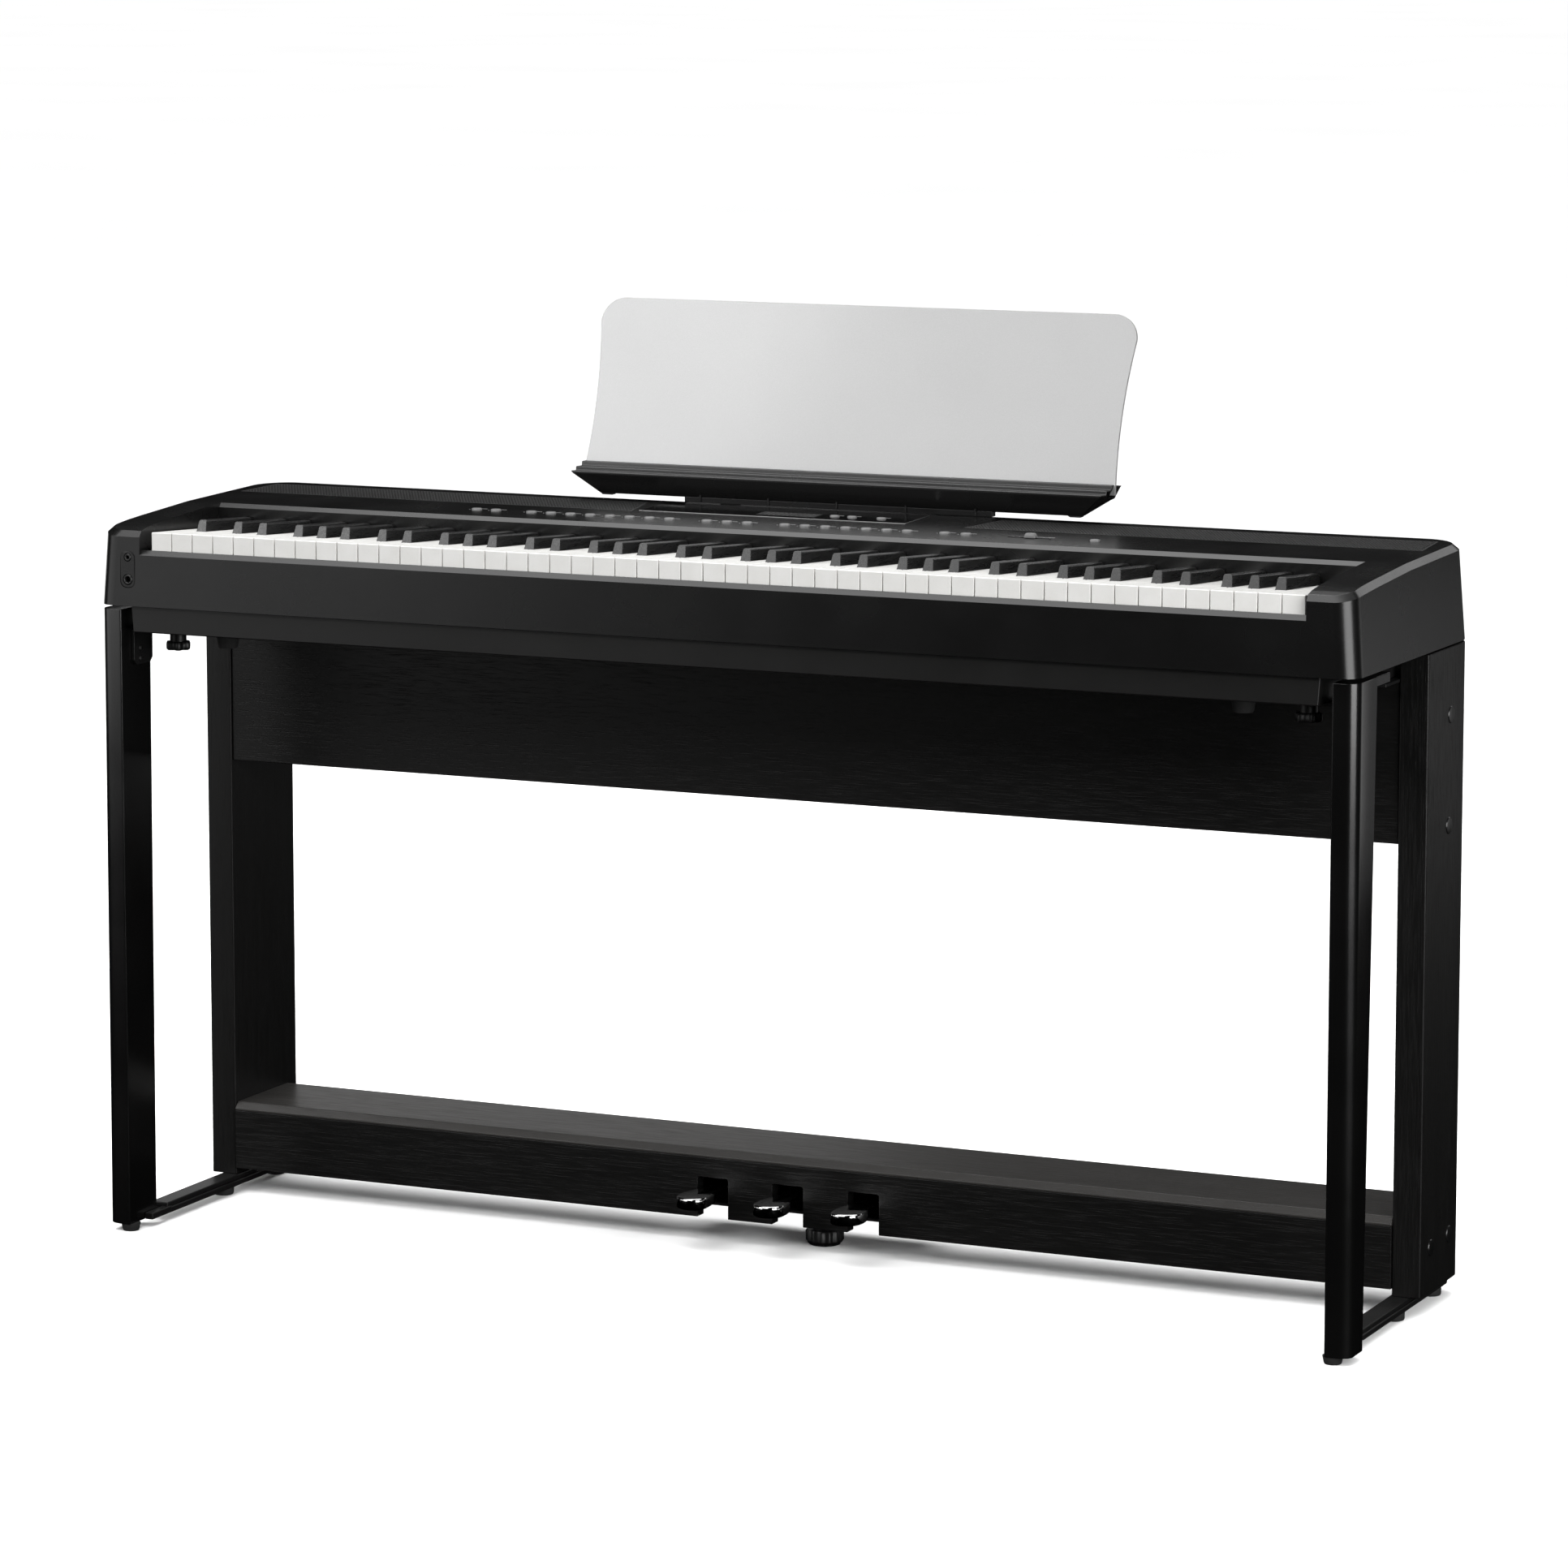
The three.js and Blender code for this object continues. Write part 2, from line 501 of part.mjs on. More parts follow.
// ---------------------------------------------------------------- music rest
// Boat-shaped ledge: its top outline, the rear wall's foot and the narrow keel underneath.
function restBase() {
  const lip = [306, 767];
  const corners = [];
  for (const side of [-1, 1]) {
    corners.push(
      new THREE.Vector3(side * 293, lip[0], lip[1]),
      new THREE.Vector3(side * 293, lip[0] + 1, lip[1] - 2),
      new THREE.Vector3(side * 298, REST_SHEET_Y + 6, REST_SHEET_Z + 2),
      new THREE.Vector3(side * 298, REST_SHEET_Y + 6, REST_SHEET_Z - 13),
      new THREE.Vector3(side * 266, 321, 744.5),
      new THREE.Vector3(side * 266, 329, 744.5),
    );
  }
  const ledge = new ConvexGeometry(corners);
  const holder = block(-170, 170, 320.5, 329.5, 739.6, 750);
  const pins = [-1, 1].map((side) =>
    block(side * PIN_X - 10, side * PIN_X + 10, PIN_ROWS[0], PIN_ROWS[1], 726, 740));
  const groove = block(-295.5, 295.5, -2.2, 2.2, -12, 30)
    .rotateX(-LEAN).translate(0, REST_SHEET_Y, REST_SHEET_Z);
  return cut(join(ledge, holder, ...pins), groove);
}

// The translucent sheet: rounded top corners and slightly hollow sides.
function restSheet() {
  const [foot, waist, head, radius] = [294, 286, 297, 26];
  const shape = new THREE.Shape();
  shape.moveTo(-foot, -8);
  shape.lineTo(foot, -8);
  shape.quadraticCurveTo(waist, REST_HEIGHT * 0.4, head, REST_HEIGHT - radius);
  shape.absarc(head - radius, REST_HEIGHT - radius, radius, 0, Math.PI / 2, false);
  shape.absarc(radius - head, REST_HEIGHT - radius, radius, Math.PI / 2, Math.PI, false);
  shape.quadraticCurveTo(-waist, REST_HEIGHT * 0.4, -foot, -8);
  return extrude(shape, 2 * SHEET_HALF_THICKNESS, 8).translate(0, 0, -SHEET_HALF_THICKNESS)
    .rotateX(Math.PI / 2 - LEAN).translate(0, REST_SHEET_Y, REST_SHEET_Z);
}

add('music_rest_base', restBase(), caseBlack);
add('music_rest_sheet', restSheet(), acrylic);

// ---------------------------------------------------------------- stand, right side mirrored to left
function frontLeg() {
  const plan = rounded(LEG_INNER, LEG_OUTER, LEG_FRONT, LEG_REAR, [1.5, 14, 5, 1.5]);
  const width = LEG_OUTER - LEG_INNER;
  const foot = (x, y) => {
    const back = (y - LEG_FRONT) / (LEG_REAR - LEG_FRONT);
    return [x, y - back * (4 + (15 * (x - LEG_INNER)) / width), LEG_BOTTOM];
  };
  const head = (x, y) => [x, y, LEG_TOP];
  return join(loft(plan, [foot, head], 5), block(LEG_INNER, LEG_OUTER - 2, LEG_REAR - 14, 93, 631, LEG_TOP));
}

function floorBar() {
  const plan = outline([
    [634, 25], [LEG_INNER - GAP, 25], [LEG_INNER - GAP, 60], [657, 60], [657, 325], [634, 325],
  ]);
  return join(prismZ(plan, 8, 15), block(640, LEG_INNER - GAP, 25, POST_FRONT - 4, 14, 26));
}

// Angle bracket under the lower case: a flat plate over the knob bolt and an upright flange on the
// inner face of the leg or post.
function bracket(boltY, inner, plateRear, flange) {
  const top = LOWER_BOTTOM - GAP;
  const angle = join(
    block(BOLT_X - 16, inner - GAP, boltY - 18, plateRear, top - 3, top),
    block(inner - GAP - 3, inner - GAP, flange[0], flange[1], 582, top),
  );
  return cut(angle, rod(BOLT_X, boltY, 600, 630, 3.6, 12));
}

const knobBolt = turned([
  [0, 597], [12, 597], [13.5, 599], [13.5, 604], [12.5, 606], [8.5, 606], [8.5, 614.6], [3, 614.6],
  [3, 632], [0, 632],
], 16);

const glide = turned([[0, 0], [7.5, 0], [8.5, 1.2], [9.6, 7.7], [0, 7.7]], 18);
const rearFoot = turned([[0, 0], [9.5, 0], [10.5, 1.5], [10.5, 7.7], [0, 7.7]], 18);

const postShape = rounded(POST_INNER, POST_OUTER, POST_FRONT, POST_REAR, [1.5, 2, 27, 1.5]);
const rightSide = {
  front_leg: [frontLeg(), caseBlack],
  rear_post: [prismZ(postShape, POST_BOTTOM, POST_TOP, 6), woodBlack],
  floor_bar: [floorBar(), steelBlack],
  front_bracket: [bracket(BOLT_FRONT_Y, LEG_INNER, 60, [16, 52]), steelBlack],
  rear_bracket: [bracket(BOLT_REAR_Y, POST_INNER, 262, [224, 262]), steelBlack],
  leg_glide: [glide.clone().translate(649, 7, 0), rubber],
  rear_foot: [rearFoot.clone().translate(646, 300, 0), rubber],
};
for (const [name, [geometry, material]] of Object.entries(rightSide)) {
  add(`${name}_right`, geometry, material);
  add(`${name}_left`, mirrored(geometry), material);
}
for (const [end, y] of [['front', BOLT_FRONT_Y], ['rear', BOLT_REAR_Y]]) {
  add(`knob_bolt_${end}_left`, knobBolt.clone().translate(-BOLT_X, y, 0), rubber);
  add(`knob_bolt_${end}_right`, knobBolt.clone().translate(BOLT_X, y, 0), rubber);
}

add('back_board', block(-BOARD_HALF, BOARD_HALF, 207, 222, 459, 614.6), woodBlack);

// ---------------------------------------------------------------- pedal shelf
add('pedal_shelf', prismX(outline([
  [SHELF_FRONT, SHELF_UNDER], [SHELF_REAR, SHELF_UNDER], [SHELF_REAR, SHELF_TOP],
  [SHELF_FRONT + BEVEL, SHELF_TOP], [SHELF_FRONT, SHELF_TOP - BEVEL],
]), -BOARD_HALF, BOARD_HALF), woodBlack);

const PEDALS = { pedal_soft: -PEDAL_PITCH, pedal_sostenuto: 0, pedal_damper: PEDAL_PITCH };
const kickRear = SHELF_FRONT + KICK_THICKNESS;
add('kick_board', cut(
  block(-BOARD_HALF, BOARD_HALF, SHELF_FRONT, kickRear, KICK_BOTTOM, SHELF_UNDER - GAP),
  ...Object.values(PEDALS).map((x) => block(x - NOTCH_WIDTH / 2, x + NOTCH_WIDTH / 2, 190, 230, 10, NOTCH_TOP)),
), woodBlack);

// Steel box open to the front, with the pedal shaft between its ends and the foot's boss below.
const FOOT_X = 20.6;
const FOOT_Y = 248;
add('pedal_housing', cut(
  block(-126, 126, kickRear + GAP, 311, 36, SHELF_UNDER - GAP),
  block(-123, 123, 200, 308, 39, SHELF_UNDER - 3),
  rodX(-140, 140, SHAFT_Y, SHAFT_Z, SHAFT_RADIUS + GAP, 16),
  rod(FOOT_X, FOOT_Y, 20, 50, 5.4, 14),
), steelBlack);
add('pedal_shaft', rodX(-125.5, 125.5, SHAFT_Y, SHAFT_Z, SHAFT_RADIUS, 16), steelBlack);

// A pedal seen from above: a narrow neck that swells to a rounded tip, flared to one or both sides.
function pedal(leftFlare, rightFlare) {
  const shape = new THREE.Shape();
  shape.moveTo(-9, 300);
  shape.lineTo(-9, 202);
  shape.bezierCurveTo(-10, 185, -11 - leftFlare, 178, -11 - leftFlare, 160);
  shape.bezierCurveTo(-11 - leftFlare, 148, -10, 143, 0, 142.6);
  shape.bezierCurveTo(10, 143, 11 + rightFlare, 148, 11 + rightFlare, 160);
  shape.bezierCurveTo(11 + rightFlare, 178, 10, 185, 9, 202);
  shape.lineTo(9, 300);
  const plan = prismZ(shape, 45, 70, 5);
  const side = prismX(outline([
    [140, 46], [200, 47], [280, 50], [302, 52], [302, 68], [288, 68], [280, 60], [200, 58.5], [140, 58],
  ]), -30, 30);
  return cut(common(plan, side), rodX(-30, 30, SHAFT_Y, SHAFT_Z, SHAFT_RADIUS + GAP, 16));
}

const FLARES = { pedal_soft: [8, 4], pedal_sostenuto: [6, 6], pedal_damper: [4, 8] };
for (const [name, x] of Object.entries(PEDALS)) {
  add(name, pedal(...FLARES[name]).translate(x, 0, 0), chrome);
}

// Screw foot under the pedal box, turned by its fluted rim.
add('adjuster_foot', turned([
  [0, 0], [15, 0], [18, 2], [18, 4], [19.5, 5], [19.5, 15], [18.5, 16], [12, 17], [12, 22], [5, 22],
  [5, 37.5], [0, 37.5],
], 20).translate(FOOT_X, FOOT_Y, 0), rubber);

export default piano;
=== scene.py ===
"""The digital piano's looks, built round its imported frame. Shapes are in millimetres, measured like the
frame: x to the player's right, z up, and y back from the white keys' front faces."""
import math

import bmesh
import bpy
from mathutils import Matrix, Vector


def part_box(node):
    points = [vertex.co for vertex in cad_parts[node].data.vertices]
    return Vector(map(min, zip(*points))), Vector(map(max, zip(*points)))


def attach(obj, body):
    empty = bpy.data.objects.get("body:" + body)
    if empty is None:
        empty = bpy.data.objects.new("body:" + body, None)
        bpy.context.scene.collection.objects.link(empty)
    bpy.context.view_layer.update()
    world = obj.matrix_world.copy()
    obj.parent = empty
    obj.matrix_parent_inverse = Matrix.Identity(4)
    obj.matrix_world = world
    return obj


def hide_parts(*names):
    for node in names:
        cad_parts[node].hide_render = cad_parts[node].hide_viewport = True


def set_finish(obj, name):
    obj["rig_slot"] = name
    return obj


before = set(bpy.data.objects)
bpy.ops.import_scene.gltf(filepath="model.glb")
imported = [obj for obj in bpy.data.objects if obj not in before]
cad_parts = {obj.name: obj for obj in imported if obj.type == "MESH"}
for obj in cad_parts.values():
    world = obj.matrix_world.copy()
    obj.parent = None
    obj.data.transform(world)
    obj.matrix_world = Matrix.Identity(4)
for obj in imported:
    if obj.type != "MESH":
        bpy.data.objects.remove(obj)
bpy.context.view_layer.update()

MM = 0.001
KEYS_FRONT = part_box("white_keys_low")[0].y  # where y is 0 in this script
ROOT = "stand_and_case"
RIGHT, LEFT = 1, -1
SIDES = {"right": RIGHT, "left": LEFT}


def span(node):
    """A CAD node's lowest and highest corner in this script's millimetres."""
    shift = Vector((0, KEYS_FRONT, 0))
    return tuple((corner - shift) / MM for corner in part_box(node))


# ---- driving sizes, from the frame
CASE_LOW, CASE_HIGH = span("upper_case")
LOWER_LOW, LOWER_HIGH = span("lower_case")
KEYS_LOW, KEYS_HIGH = span("white_keys_low")
SHARPS_LOW, SHARPS_HIGH = span("black_keys_low")
LEG_LOW, LEG_HIGH = span("front_leg_right")
POST_LOW, POST_HIGH = span("rear_post_right")
BACK_LOW, BACK_HIGH = span("back_board")
SHELF_LOW, SHELF_HIGH = span("pedal_shelf")
KICK_LOW, KICK_HIGH = span("kick_board")
GRILLE_LOW, GRILLE_HIGH = span("speaker_grille_right")
WINDOW_LOW, WINDOW_HIGH = span("display_window")
BAR_LOW, BAR_HIGH = span("floor_bar_right")

# ---- other driving sizes
# the case
CASE_HALF = CASE_HIGH.x
FRONT_RADIUS = 20
REAR_RADIUS = 38
TOP_AT_KEYS = 730.6  # height of the panel's plane, carried forward over the keys' front faces
TOP_SLOPE = 0.026
TOP_ANGLE = math.atan(TOP_SLOPE)
CHEEK_RISE = [(-9, 719.6), (-2, 721.8), (8, 724.2), (30, 726.8), (60, 729), (100, 731.3)]  # y and height
BEVEL = 6.4  # the chamfer on the key slip, and the one along the shelf
SLIP_TOP = 702.4
ROOF = 5  # thickness of the case under its top
ABOVE = 760  # a height clear of the case, where cutters end
# the key well and the keys
WELL_HALF = 619
PANEL_EDGE = 156  # where the panel's front bevel meets its top
PANEL_BEVEL = (6, 4)
WALL_FRONT = PANEL_EDGE - PANEL_BEVEL[0]  # the panel's front wall, behind the keys
KEY_FALL = 0.06  # the keys' tops fall slightly to the rear
KEY_PITCH = 23.57
KEY_GAP = 1
KEY_HEAD = 50  # length of a white key's wide front part
BLACK_WIDTH = 10.6
# the controls
PLATE_DEPTH = 1.8  # recess that the display window and the grilles sit in
GRILLE_OUTER = 646
GRILLES = {"right": GRILLE_LOW.x, "left": -span("speaker_grille_left")[1].x}  # each one's inner end
BUTTON_ROW = 197.3
DISPLAY_ROW = 272.6
BUTTON_GROUPS = {  # body: first button's x, how many, last button's x
    "buttons_recorder": (-344.3, 2, -322.5),
    "buttons_voices": (-282.3, 8, -127.6),
    "buttons_functions": (-86.2, 3, -41.8),
    "buttons_rhythm": (-0.8, 7, 131.5),
    "buttons_tempo": (171.5, 2, 194),
}
DISPLAY_BUTTONS = (19.6, 38.6, 70.6)
POWER_X = 329.2
SLIDER_X = 262.2
SLIDER_SLOT = (238, 284)
# the sockets
JACK_X = -632.5
JACK_ROWS = {694.8: 1.9, 672.4: 3.25}  # height of each socket, and its radius
DATA_PORTS = ((-50, -37, 668, 680), (-24, -12, 671, 677))  # x and z ranges
REAR_SOCKETS = {10: 3.3, 34: 3.3, 58: 3.3, 82: 3.3, 122: 4.2}  # x of each socket, and its radius
REAR_SOCKET_ROW = 674
# the music rest
REST_PIN_X = 120
REST_KEEL = 744.5  # height of the ledge's narrow keel
LEAN = math.radians(17.5)
SHEET_FOOT = (343, 772)
# the stand
LEG_REAR = 54
BOLT_X = 605
BOLT_ROWS = {"front": 43, "rear": 182}
PLATE_INNER = 589  # inner end of the brackets' plates
RAIL_FEET = (646, (300, 190))  # x of the feet under the floor rails, and their rows
PEDAL_PITCH = 83.3
PEDALS = {  # body: x, and how far the tip flares to its left and right
    "pedal_soft": (-PEDAL_PITCH, 8, 4),
    "pedal_sostenuto": (0, 6, 6),
    "pedal_damper": (PEDAL_PITCH, 4, 8),
}
PEDAL_TIP = 142.8


def top_at(y):
    return TOP_AT_KEYS + TOP_SLOPE * y


def crown_at(y):
    """Height of the case's top: the cheeks climb in a curve from the front edge to the panel's plane."""
    rise = [*CHEEK_RISE, (PANEL_EDGE, 734.6)]
    for (y0, z0), (y1, z1) in zip(rise, rise[1:]):
        if y <= y1:
            return z0 + (z1 - z0) * max(0, y - y0) / (y1 - y0)
    return top_at(y)


# ---- mesh helpers
def skin(bm, low, high):
    """A band of faces between two loops of vertices."""
    for i in range(len(low)):
        j = (i + 1) % len(low)
        bm.faces.new((low[i], low[j], high[j], high[i]))


def ring_mesh(rings, closed=False):
    """A shell through rings of points; the end rings are capped unless the rings close on themselves."""
    bm = bmesh.new()
    loops = [[bm.verts.new(point) for point in ring] for ring in rings]
    for low, high in zip(loops, loops[1:]):
        skin(bm, low, high)
    if closed:
        skin(bm, loops[-1], loops[0])
    else:
        bm.faces.new(list(reversed(loops[0])))
        bm.faces.new(loops[-1])
    bmesh.ops.recalc_face_normals(bm, faces=bm.faces)
    return bm


def prism_z(points, low, high):
    return ring_mesh([[(x, y, z) for x, y in points] for z in (low, high)])


def prism_x(points, low, high):
    return ring_mesh([[(x, y, z) for y, z in points] for x in (low, high)])


def prism_y(points, low, high):
    return ring_mesh([[(x, y, z) for x, z in points] for y in (low, high)])


def block(x0, x1, y0, y1, z0, z1):
    return prism_z([(x0, y0), (x1, y0), (x1, y1), (x0, y1)], z0, z1)


def arc(x, y, radius, start, end, steps):
    """Points on an arc, with angles in degrees; a pair of radii makes it part of an ellipse."""
    across, along = radius if isinstance(radius, tuple) else (radius, radius)
    angles = [math.radians(start + (end - start) * i / steps) for i in range(steps + 1)]
    return [(x + across * math.cos(a), y + along * math.sin(a)) for a in angles]


def rounded(x0, x1, y0, y1, radii, steps=8):
    """A rectangle's outline with a radius at each corner: front left, front right, rear right, rear left."""
    corners = [(x0, y0, 180), (x1, y0, 270), (x1, y1, 0), (x0, y1, 90)]
    signs = [(1, 1), (-1, 1), (-1, -1), (1, -1)]
    points = []
    for (x, y, start), (sx, sy), radius in zip(corners, signs, radii):
        if radius:
            points += arc(x + sx * radius, y + sy * radius, radius, start, start + 90, steps)
        else:
            points.append((x, y))
    return points


def oval(x, y, width, depth, steps=10):
    half = (width - depth) / 2
    right = arc(x + half, y, depth / 2, -90, 90, steps)
    return right + arc(x - half, y, depth / 2, 90, 270, steps)


def lathe(profile, x=0, y=0, segments=32, lobes=0, depth=0.0):
    """A turned piece from (radius, z) pairs, bottom to top; lobes scallop its widest rings."""
    widest = max(radius for radius, _ in profile)
    rings = []
    for radius, z in profile:
        ring = []
        for i in range(segments):
            a = 2 * math.pi * i / segments
            dent = depth * (0.5 - 0.5 * math.cos(lobes * a)) if lobes and radius > 0.8 * widest else 0
            ring.append((x + (radius - dent) * math.cos(a), y + (radius - dent) * math.sin(a), z))
        rings.append(ring)
    return ring_mesh(rings)


def merged(*meshes):
    """Several closed shells as one mesh."""
    whole = bmesh.new()
    for part in meshes:
        data = bpy.data.meshes.new("part")
        part.to_mesh(data)
        whole.from_mesh(data)
        part.free()
        bpy.data.meshes.remove(data)
    return whole


def moved(bm, x=0.0, y=0.0, z=0.0):
    bmesh.ops.translate(bm, vec=(x, y, z), verts=bm.verts)
    return bm


def turned(bm, angle, axis, centre=(0, 0, 0)):
    bmesh.ops.rotate(bm, cent=centre, matrix=Matrix.Rotation(angle, 3, axis), verts=bm.verts)
    return bm


def mirrored(bm):
    bmesh.ops.scale(bm, vec=(-1, 1, 1), verts=bm.verts)
    bmesh.ops.reverse_faces(bm, faces=bm.faces)
    return bm


def on_top(bm, y):
    """Lays a mesh drawn at y 0 on a level plane at z 0 onto the sloping top, over the line y."""
    turned(bm, TOP_ANGLE, "X")
    return moved(bm, 0, y, top_at(y))


def link(obj):
    bpy.context.scene.collection.objects.link(obj)


def make(name, bm, material, slot, body=ROOT, soften=0.0, segments=2, stands_for=(), smooth=32):
    """Turns a shell in millimetres into a piece that rides on its body."""
    place = Matrix.Translation((0, KEYS_FRONT, 0)) @ Matrix.Scale(MM, 4)
    bmesh.ops.transform(bm, matrix=place, verts=bm.verts)
    data = bpy.data.meshes.new(name)
    bm.to_mesh(data)
    bm.free()
    data.polygons.foreach_set("use_smooth", [True] * len(data.polygons))
    obj = bpy.data.objects.new(name, data)
    link(obj)
    data.materials.append(material)
    if soften:
        edge = obj.modifiers.new("edges", "BEVEL")
        edge.width = soften * MM
        edge.segments = segments
        edge.limit_method = "ANGLE"
        edge.angle_limit = math.radians(smooth)
        edge.harden_normals = True
    else:
        data.set_sharp_from_angle(angle=math.radians(smooth))
    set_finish(obj, slot)
    for node in stands_for:
        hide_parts(node)
    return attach(obj, body)


def apply_modifiers(obj):
    bpy.context.view_layer.update()
    shape = obj.evaluated_get(bpy.context.evaluated_depsgraph_get())
    result = bpy.data.meshes.new_from_object(shape)
    obj.modifiers.clear()
    obj.data = result
    return obj


def carve(obj, cutter):
    """Cuts a shell in millimetres out of a piece, for good."""
    tool = make("cutter", cutter, obj.data.materials[0], obj["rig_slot"])
    cut = obj.modifiers.new("cut", "BOOLEAN")
    cut.operation = "DIFFERENCE"
    cut.solver = "EXACT"
    cut.object = tool
    apply_modifiers(obj)
    bpy.data.objects.remove(tool)
    return obj


def settle(obj):
    """Applies a piece's rounded edges, so that what is cut later stays crisp."""
    obj.modifiers["edges"].harden_normals = False
    return apply_modifiers(obj)


def crisp(obj, degrees=25):
    """Keeps wide faces flat and small bevels round once a piece has been cut."""
    obj.data.set_sharp_from_angle(angle=math.radians(degrees))
    weigh = obj.modifiers.new("shading", "WEIGHTED_NORMAL")
    weigh.keep_sharp = True
    return obj


# ---- materials
class Nodes:
    """Short calls for wiring one material's node tree."""

    def __init__(self, name):
        self.material = bpy.data.materials.new(name)
        self.material.use_nodes = True
        self.tree = self.material.node_tree
        self.shader = self.tree.nodes["Principled BSDF"]
        self.place = self.add("ShaderNodeTexCoord").outputs["Object"]

    def add(self, kind, **values):
        node = self.tree.nodes.new(kind)
        for key, value in values.items():
            setattr(node, key, value)
        return node

    def link(self, output, target):
        self.tree.links.new(output, target)

    def feed(self, socket, value):
        """Links an output to a socket, or sets the socket to a plain value."""
        if hasattr(value, "is_linked"):
            self.link(value, socket)
        else:
            socket.default_value = value

    def noise(self, scale, detail=4.0, rough=0.55, stretch=(1, 1, 1)):
        mapping = self.add("ShaderNodeMapping")
        mapping.inputs["Scale"].default_value = stretch
        self.link(self.place, mapping.inputs["Vector"])
        texture = self.add("ShaderNodeTexNoise")
        texture.inputs["Scale"].default_value = scale
        texture.inputs["Detail"].default_value = detail
        texture.inputs["Roughness"].default_value = rough
        self.link(mapping.outputs["Vector"], texture.inputs["Vector"])
        return texture.outputs["Fac"]

    def ramp(self, value, low, high, out_low=0.0, out_high=1.0):
        node = self.add("ShaderNodeMapRange")
        ends = {"From Min": low, "From Max": high, "To Min": out_low, "To Max": out_high}
        for key, number in ends.items():
            node.inputs[key].default_value = number
        self.link(value, node.inputs["Value"])
        return node.outputs["Result"]

    def mix(self, factor, first, second):
        node = self.add("ShaderNodeMix", data_type="RGBA")
        for index, value in ((0, factor), (6, first), (7, second)):
            self.feed(node.inputs[index], value)
        return node.outputs[2]

    def maths(self, operation, first, second):
        node = self.add("ShaderNodeMath", operation=operation)
        for socket, value in zip(node.inputs, (first, second)):
            self.feed(socket, value)
        return node.outputs[0]

    def edge_highlight(self, share, base, highlight_colour, low=0.5, high=0.62):
        """The base colour, with a share of a lighter colour along convex edges: a painted edge highlight."""
        edges = self.ramp(self.add("ShaderNodeNewGeometry").outputs["Pointiness"], low, high)
        return self.mix(self.maths("MULTIPLY", edges, share), base, highlight_colour)

    def bump(self, height, distance, strength=1.0):
        node = self.add("ShaderNodeBump")
        node.inputs["Distance"].default_value = distance
        node.inputs["Strength"].default_value = strength
        self.link(height, node.inputs["Height"])
        self.link(node.outputs["Normal"], self.shader.inputs["Normal"])

    def set(self, **values):
        for key, value in values.items():
            self.feed(self.shader.inputs[key.replace("_", " ")], value)
        return self.material


def grey(value, warm=0.0):
    return (value * (1 + warm), value, value * (1 - warm), 1)


def moulded(name, tone, rough, grain=2600, depth=0.00002, warm=0.0, shine=0.5):
    """Moulded plastic: a fine spark-eroded grain, soft cloudy sheen, and a painted highlight lightening its
    edges.
    """
    m = Nodes(name)
    cloud = m.noise(9, 3)
    fine = m.noise(grain, 2)
    base = m.mix(m.ramp(cloud, 0.3, 0.7), grey(tone * 0.88, warm), grey(tone * 1.12, warm))
    # painted highlight: a lighter colour along convex edges
    colour = m.edge_highlight(0.5, base, grey(tone * 2.2, warm))
    speckled = m.mix(m.ramp(fine, 0.35, 0.65, 0.0, 0.25), colour, grey(tone * 0.6, warm))
    m.bump(fine, depth, 0.6)
    return m.set(Base_Color=speckled, Roughness=m.ramp(cloud, 0.3, 0.7, rough - 0.03, rough + 0.03),
                 Specular_IOR_Level=shine)


def foil(name, tone, rough, along="X", warm=0.03):
    """Black foil on board, with a fine straight grain and short open pores."""
    m = Nodes(name)
    stretch = (0.03, 1, 1) if along == "X" else (1, 1, 0.03)
    pores = m.noise(950, 3, 0.6, stretch)
    bands = m.noise(70, 5, 0.6, tuple(0.35 if s == 1 else 0.02 for s in stretch))
    base = m.mix(m.ramp(bands, 0.3, 0.7), grey(tone * 0.72, warm), grey(tone * 1.3, warm))
    dark = m.mix(m.ramp(pores, 0.56, 0.68, 0.0, 0.8), base, grey(tone * 0.3, warm))
    # painted highlight: convex edges get a lighter colour
    colour = m.edge_highlight(0.4, dark, grey(tone * 2.5, warm))
    m.bump(m.maths("SUBTRACT", m.ramp(bands, 0.2, 0.8, 0, 0.35), m.ramp(pores, 0.55, 0.68)), 0.0001, 0.7)
    return m.set(Base_Color=colour, Roughness=m.ramp(pores, 0.4, 0.7, rough, rough + 0.16),
                 Specular_IOR_Level=0.36)


def painted_steel(name, tone, rough):
    """Black powder coat with a faint orange peel."""
    m = Nodes(name)
    peel = m.noise(900, 2)
    cloud = m.noise(14, 3)
    base = m.mix(m.ramp(cloud, 0.3, 0.7), grey(tone * 0.85), grey(tone * 1.2))
    # painted highlight: convex edges get a lighter colour
    colour = m.edge_highlight(0.5, base, grey(tone * 4), 0.52, 0.66)
    m.bump(peel, 0.00006, 0.6)
    return m.set(Base_Color=colour, Roughness=m.ramp(peel, 0.3, 0.7, rough - 0.04, rough + 0.08))


def key_white():
    m = Nodes("white_key_plastic")
    cloud = m.noise(40, 4)
    fibres = m.noise(500, 3, 0.6, (1, 0.04, 1))
    base = m.mix(m.ramp(cloud, 0.3, 0.7), (0.80, 0.795, 0.77, 1), (0.86, 0.855, 0.835, 1))
    colour = m.mix(m.ramp(fibres, 0.5, 0.8, 0.0, 0.18), base, (0.74, 0.73, 0.70, 1))
    m.bump(fibres, 0.00003, 0.35)
    return m.set(Base_Color=colour, Roughness=m.ramp(fibres, 0.3, 0.7, 0.26, 0.36))


def key_black():
    m = Nodes("black_key_plastic")
    fibres = m.noise(520, 4, 0.6, (1, 0.05, 1))
    base = m.mix(m.ramp(fibres, 0.35, 0.7), grey(0.003), grey(0.006))
    # painted highlight: the rounded edges get a far lighter colour
    colour = m.edge_highlight(0.35, base, grey(0.09), 0.51, 0.6)
    m.bump(fibres, 0.00001, 0.4)
    return m.set(Base_Color=colour, Roughness=m.ramp(fibres, 0.3, 0.7, 0.24, 0.34))


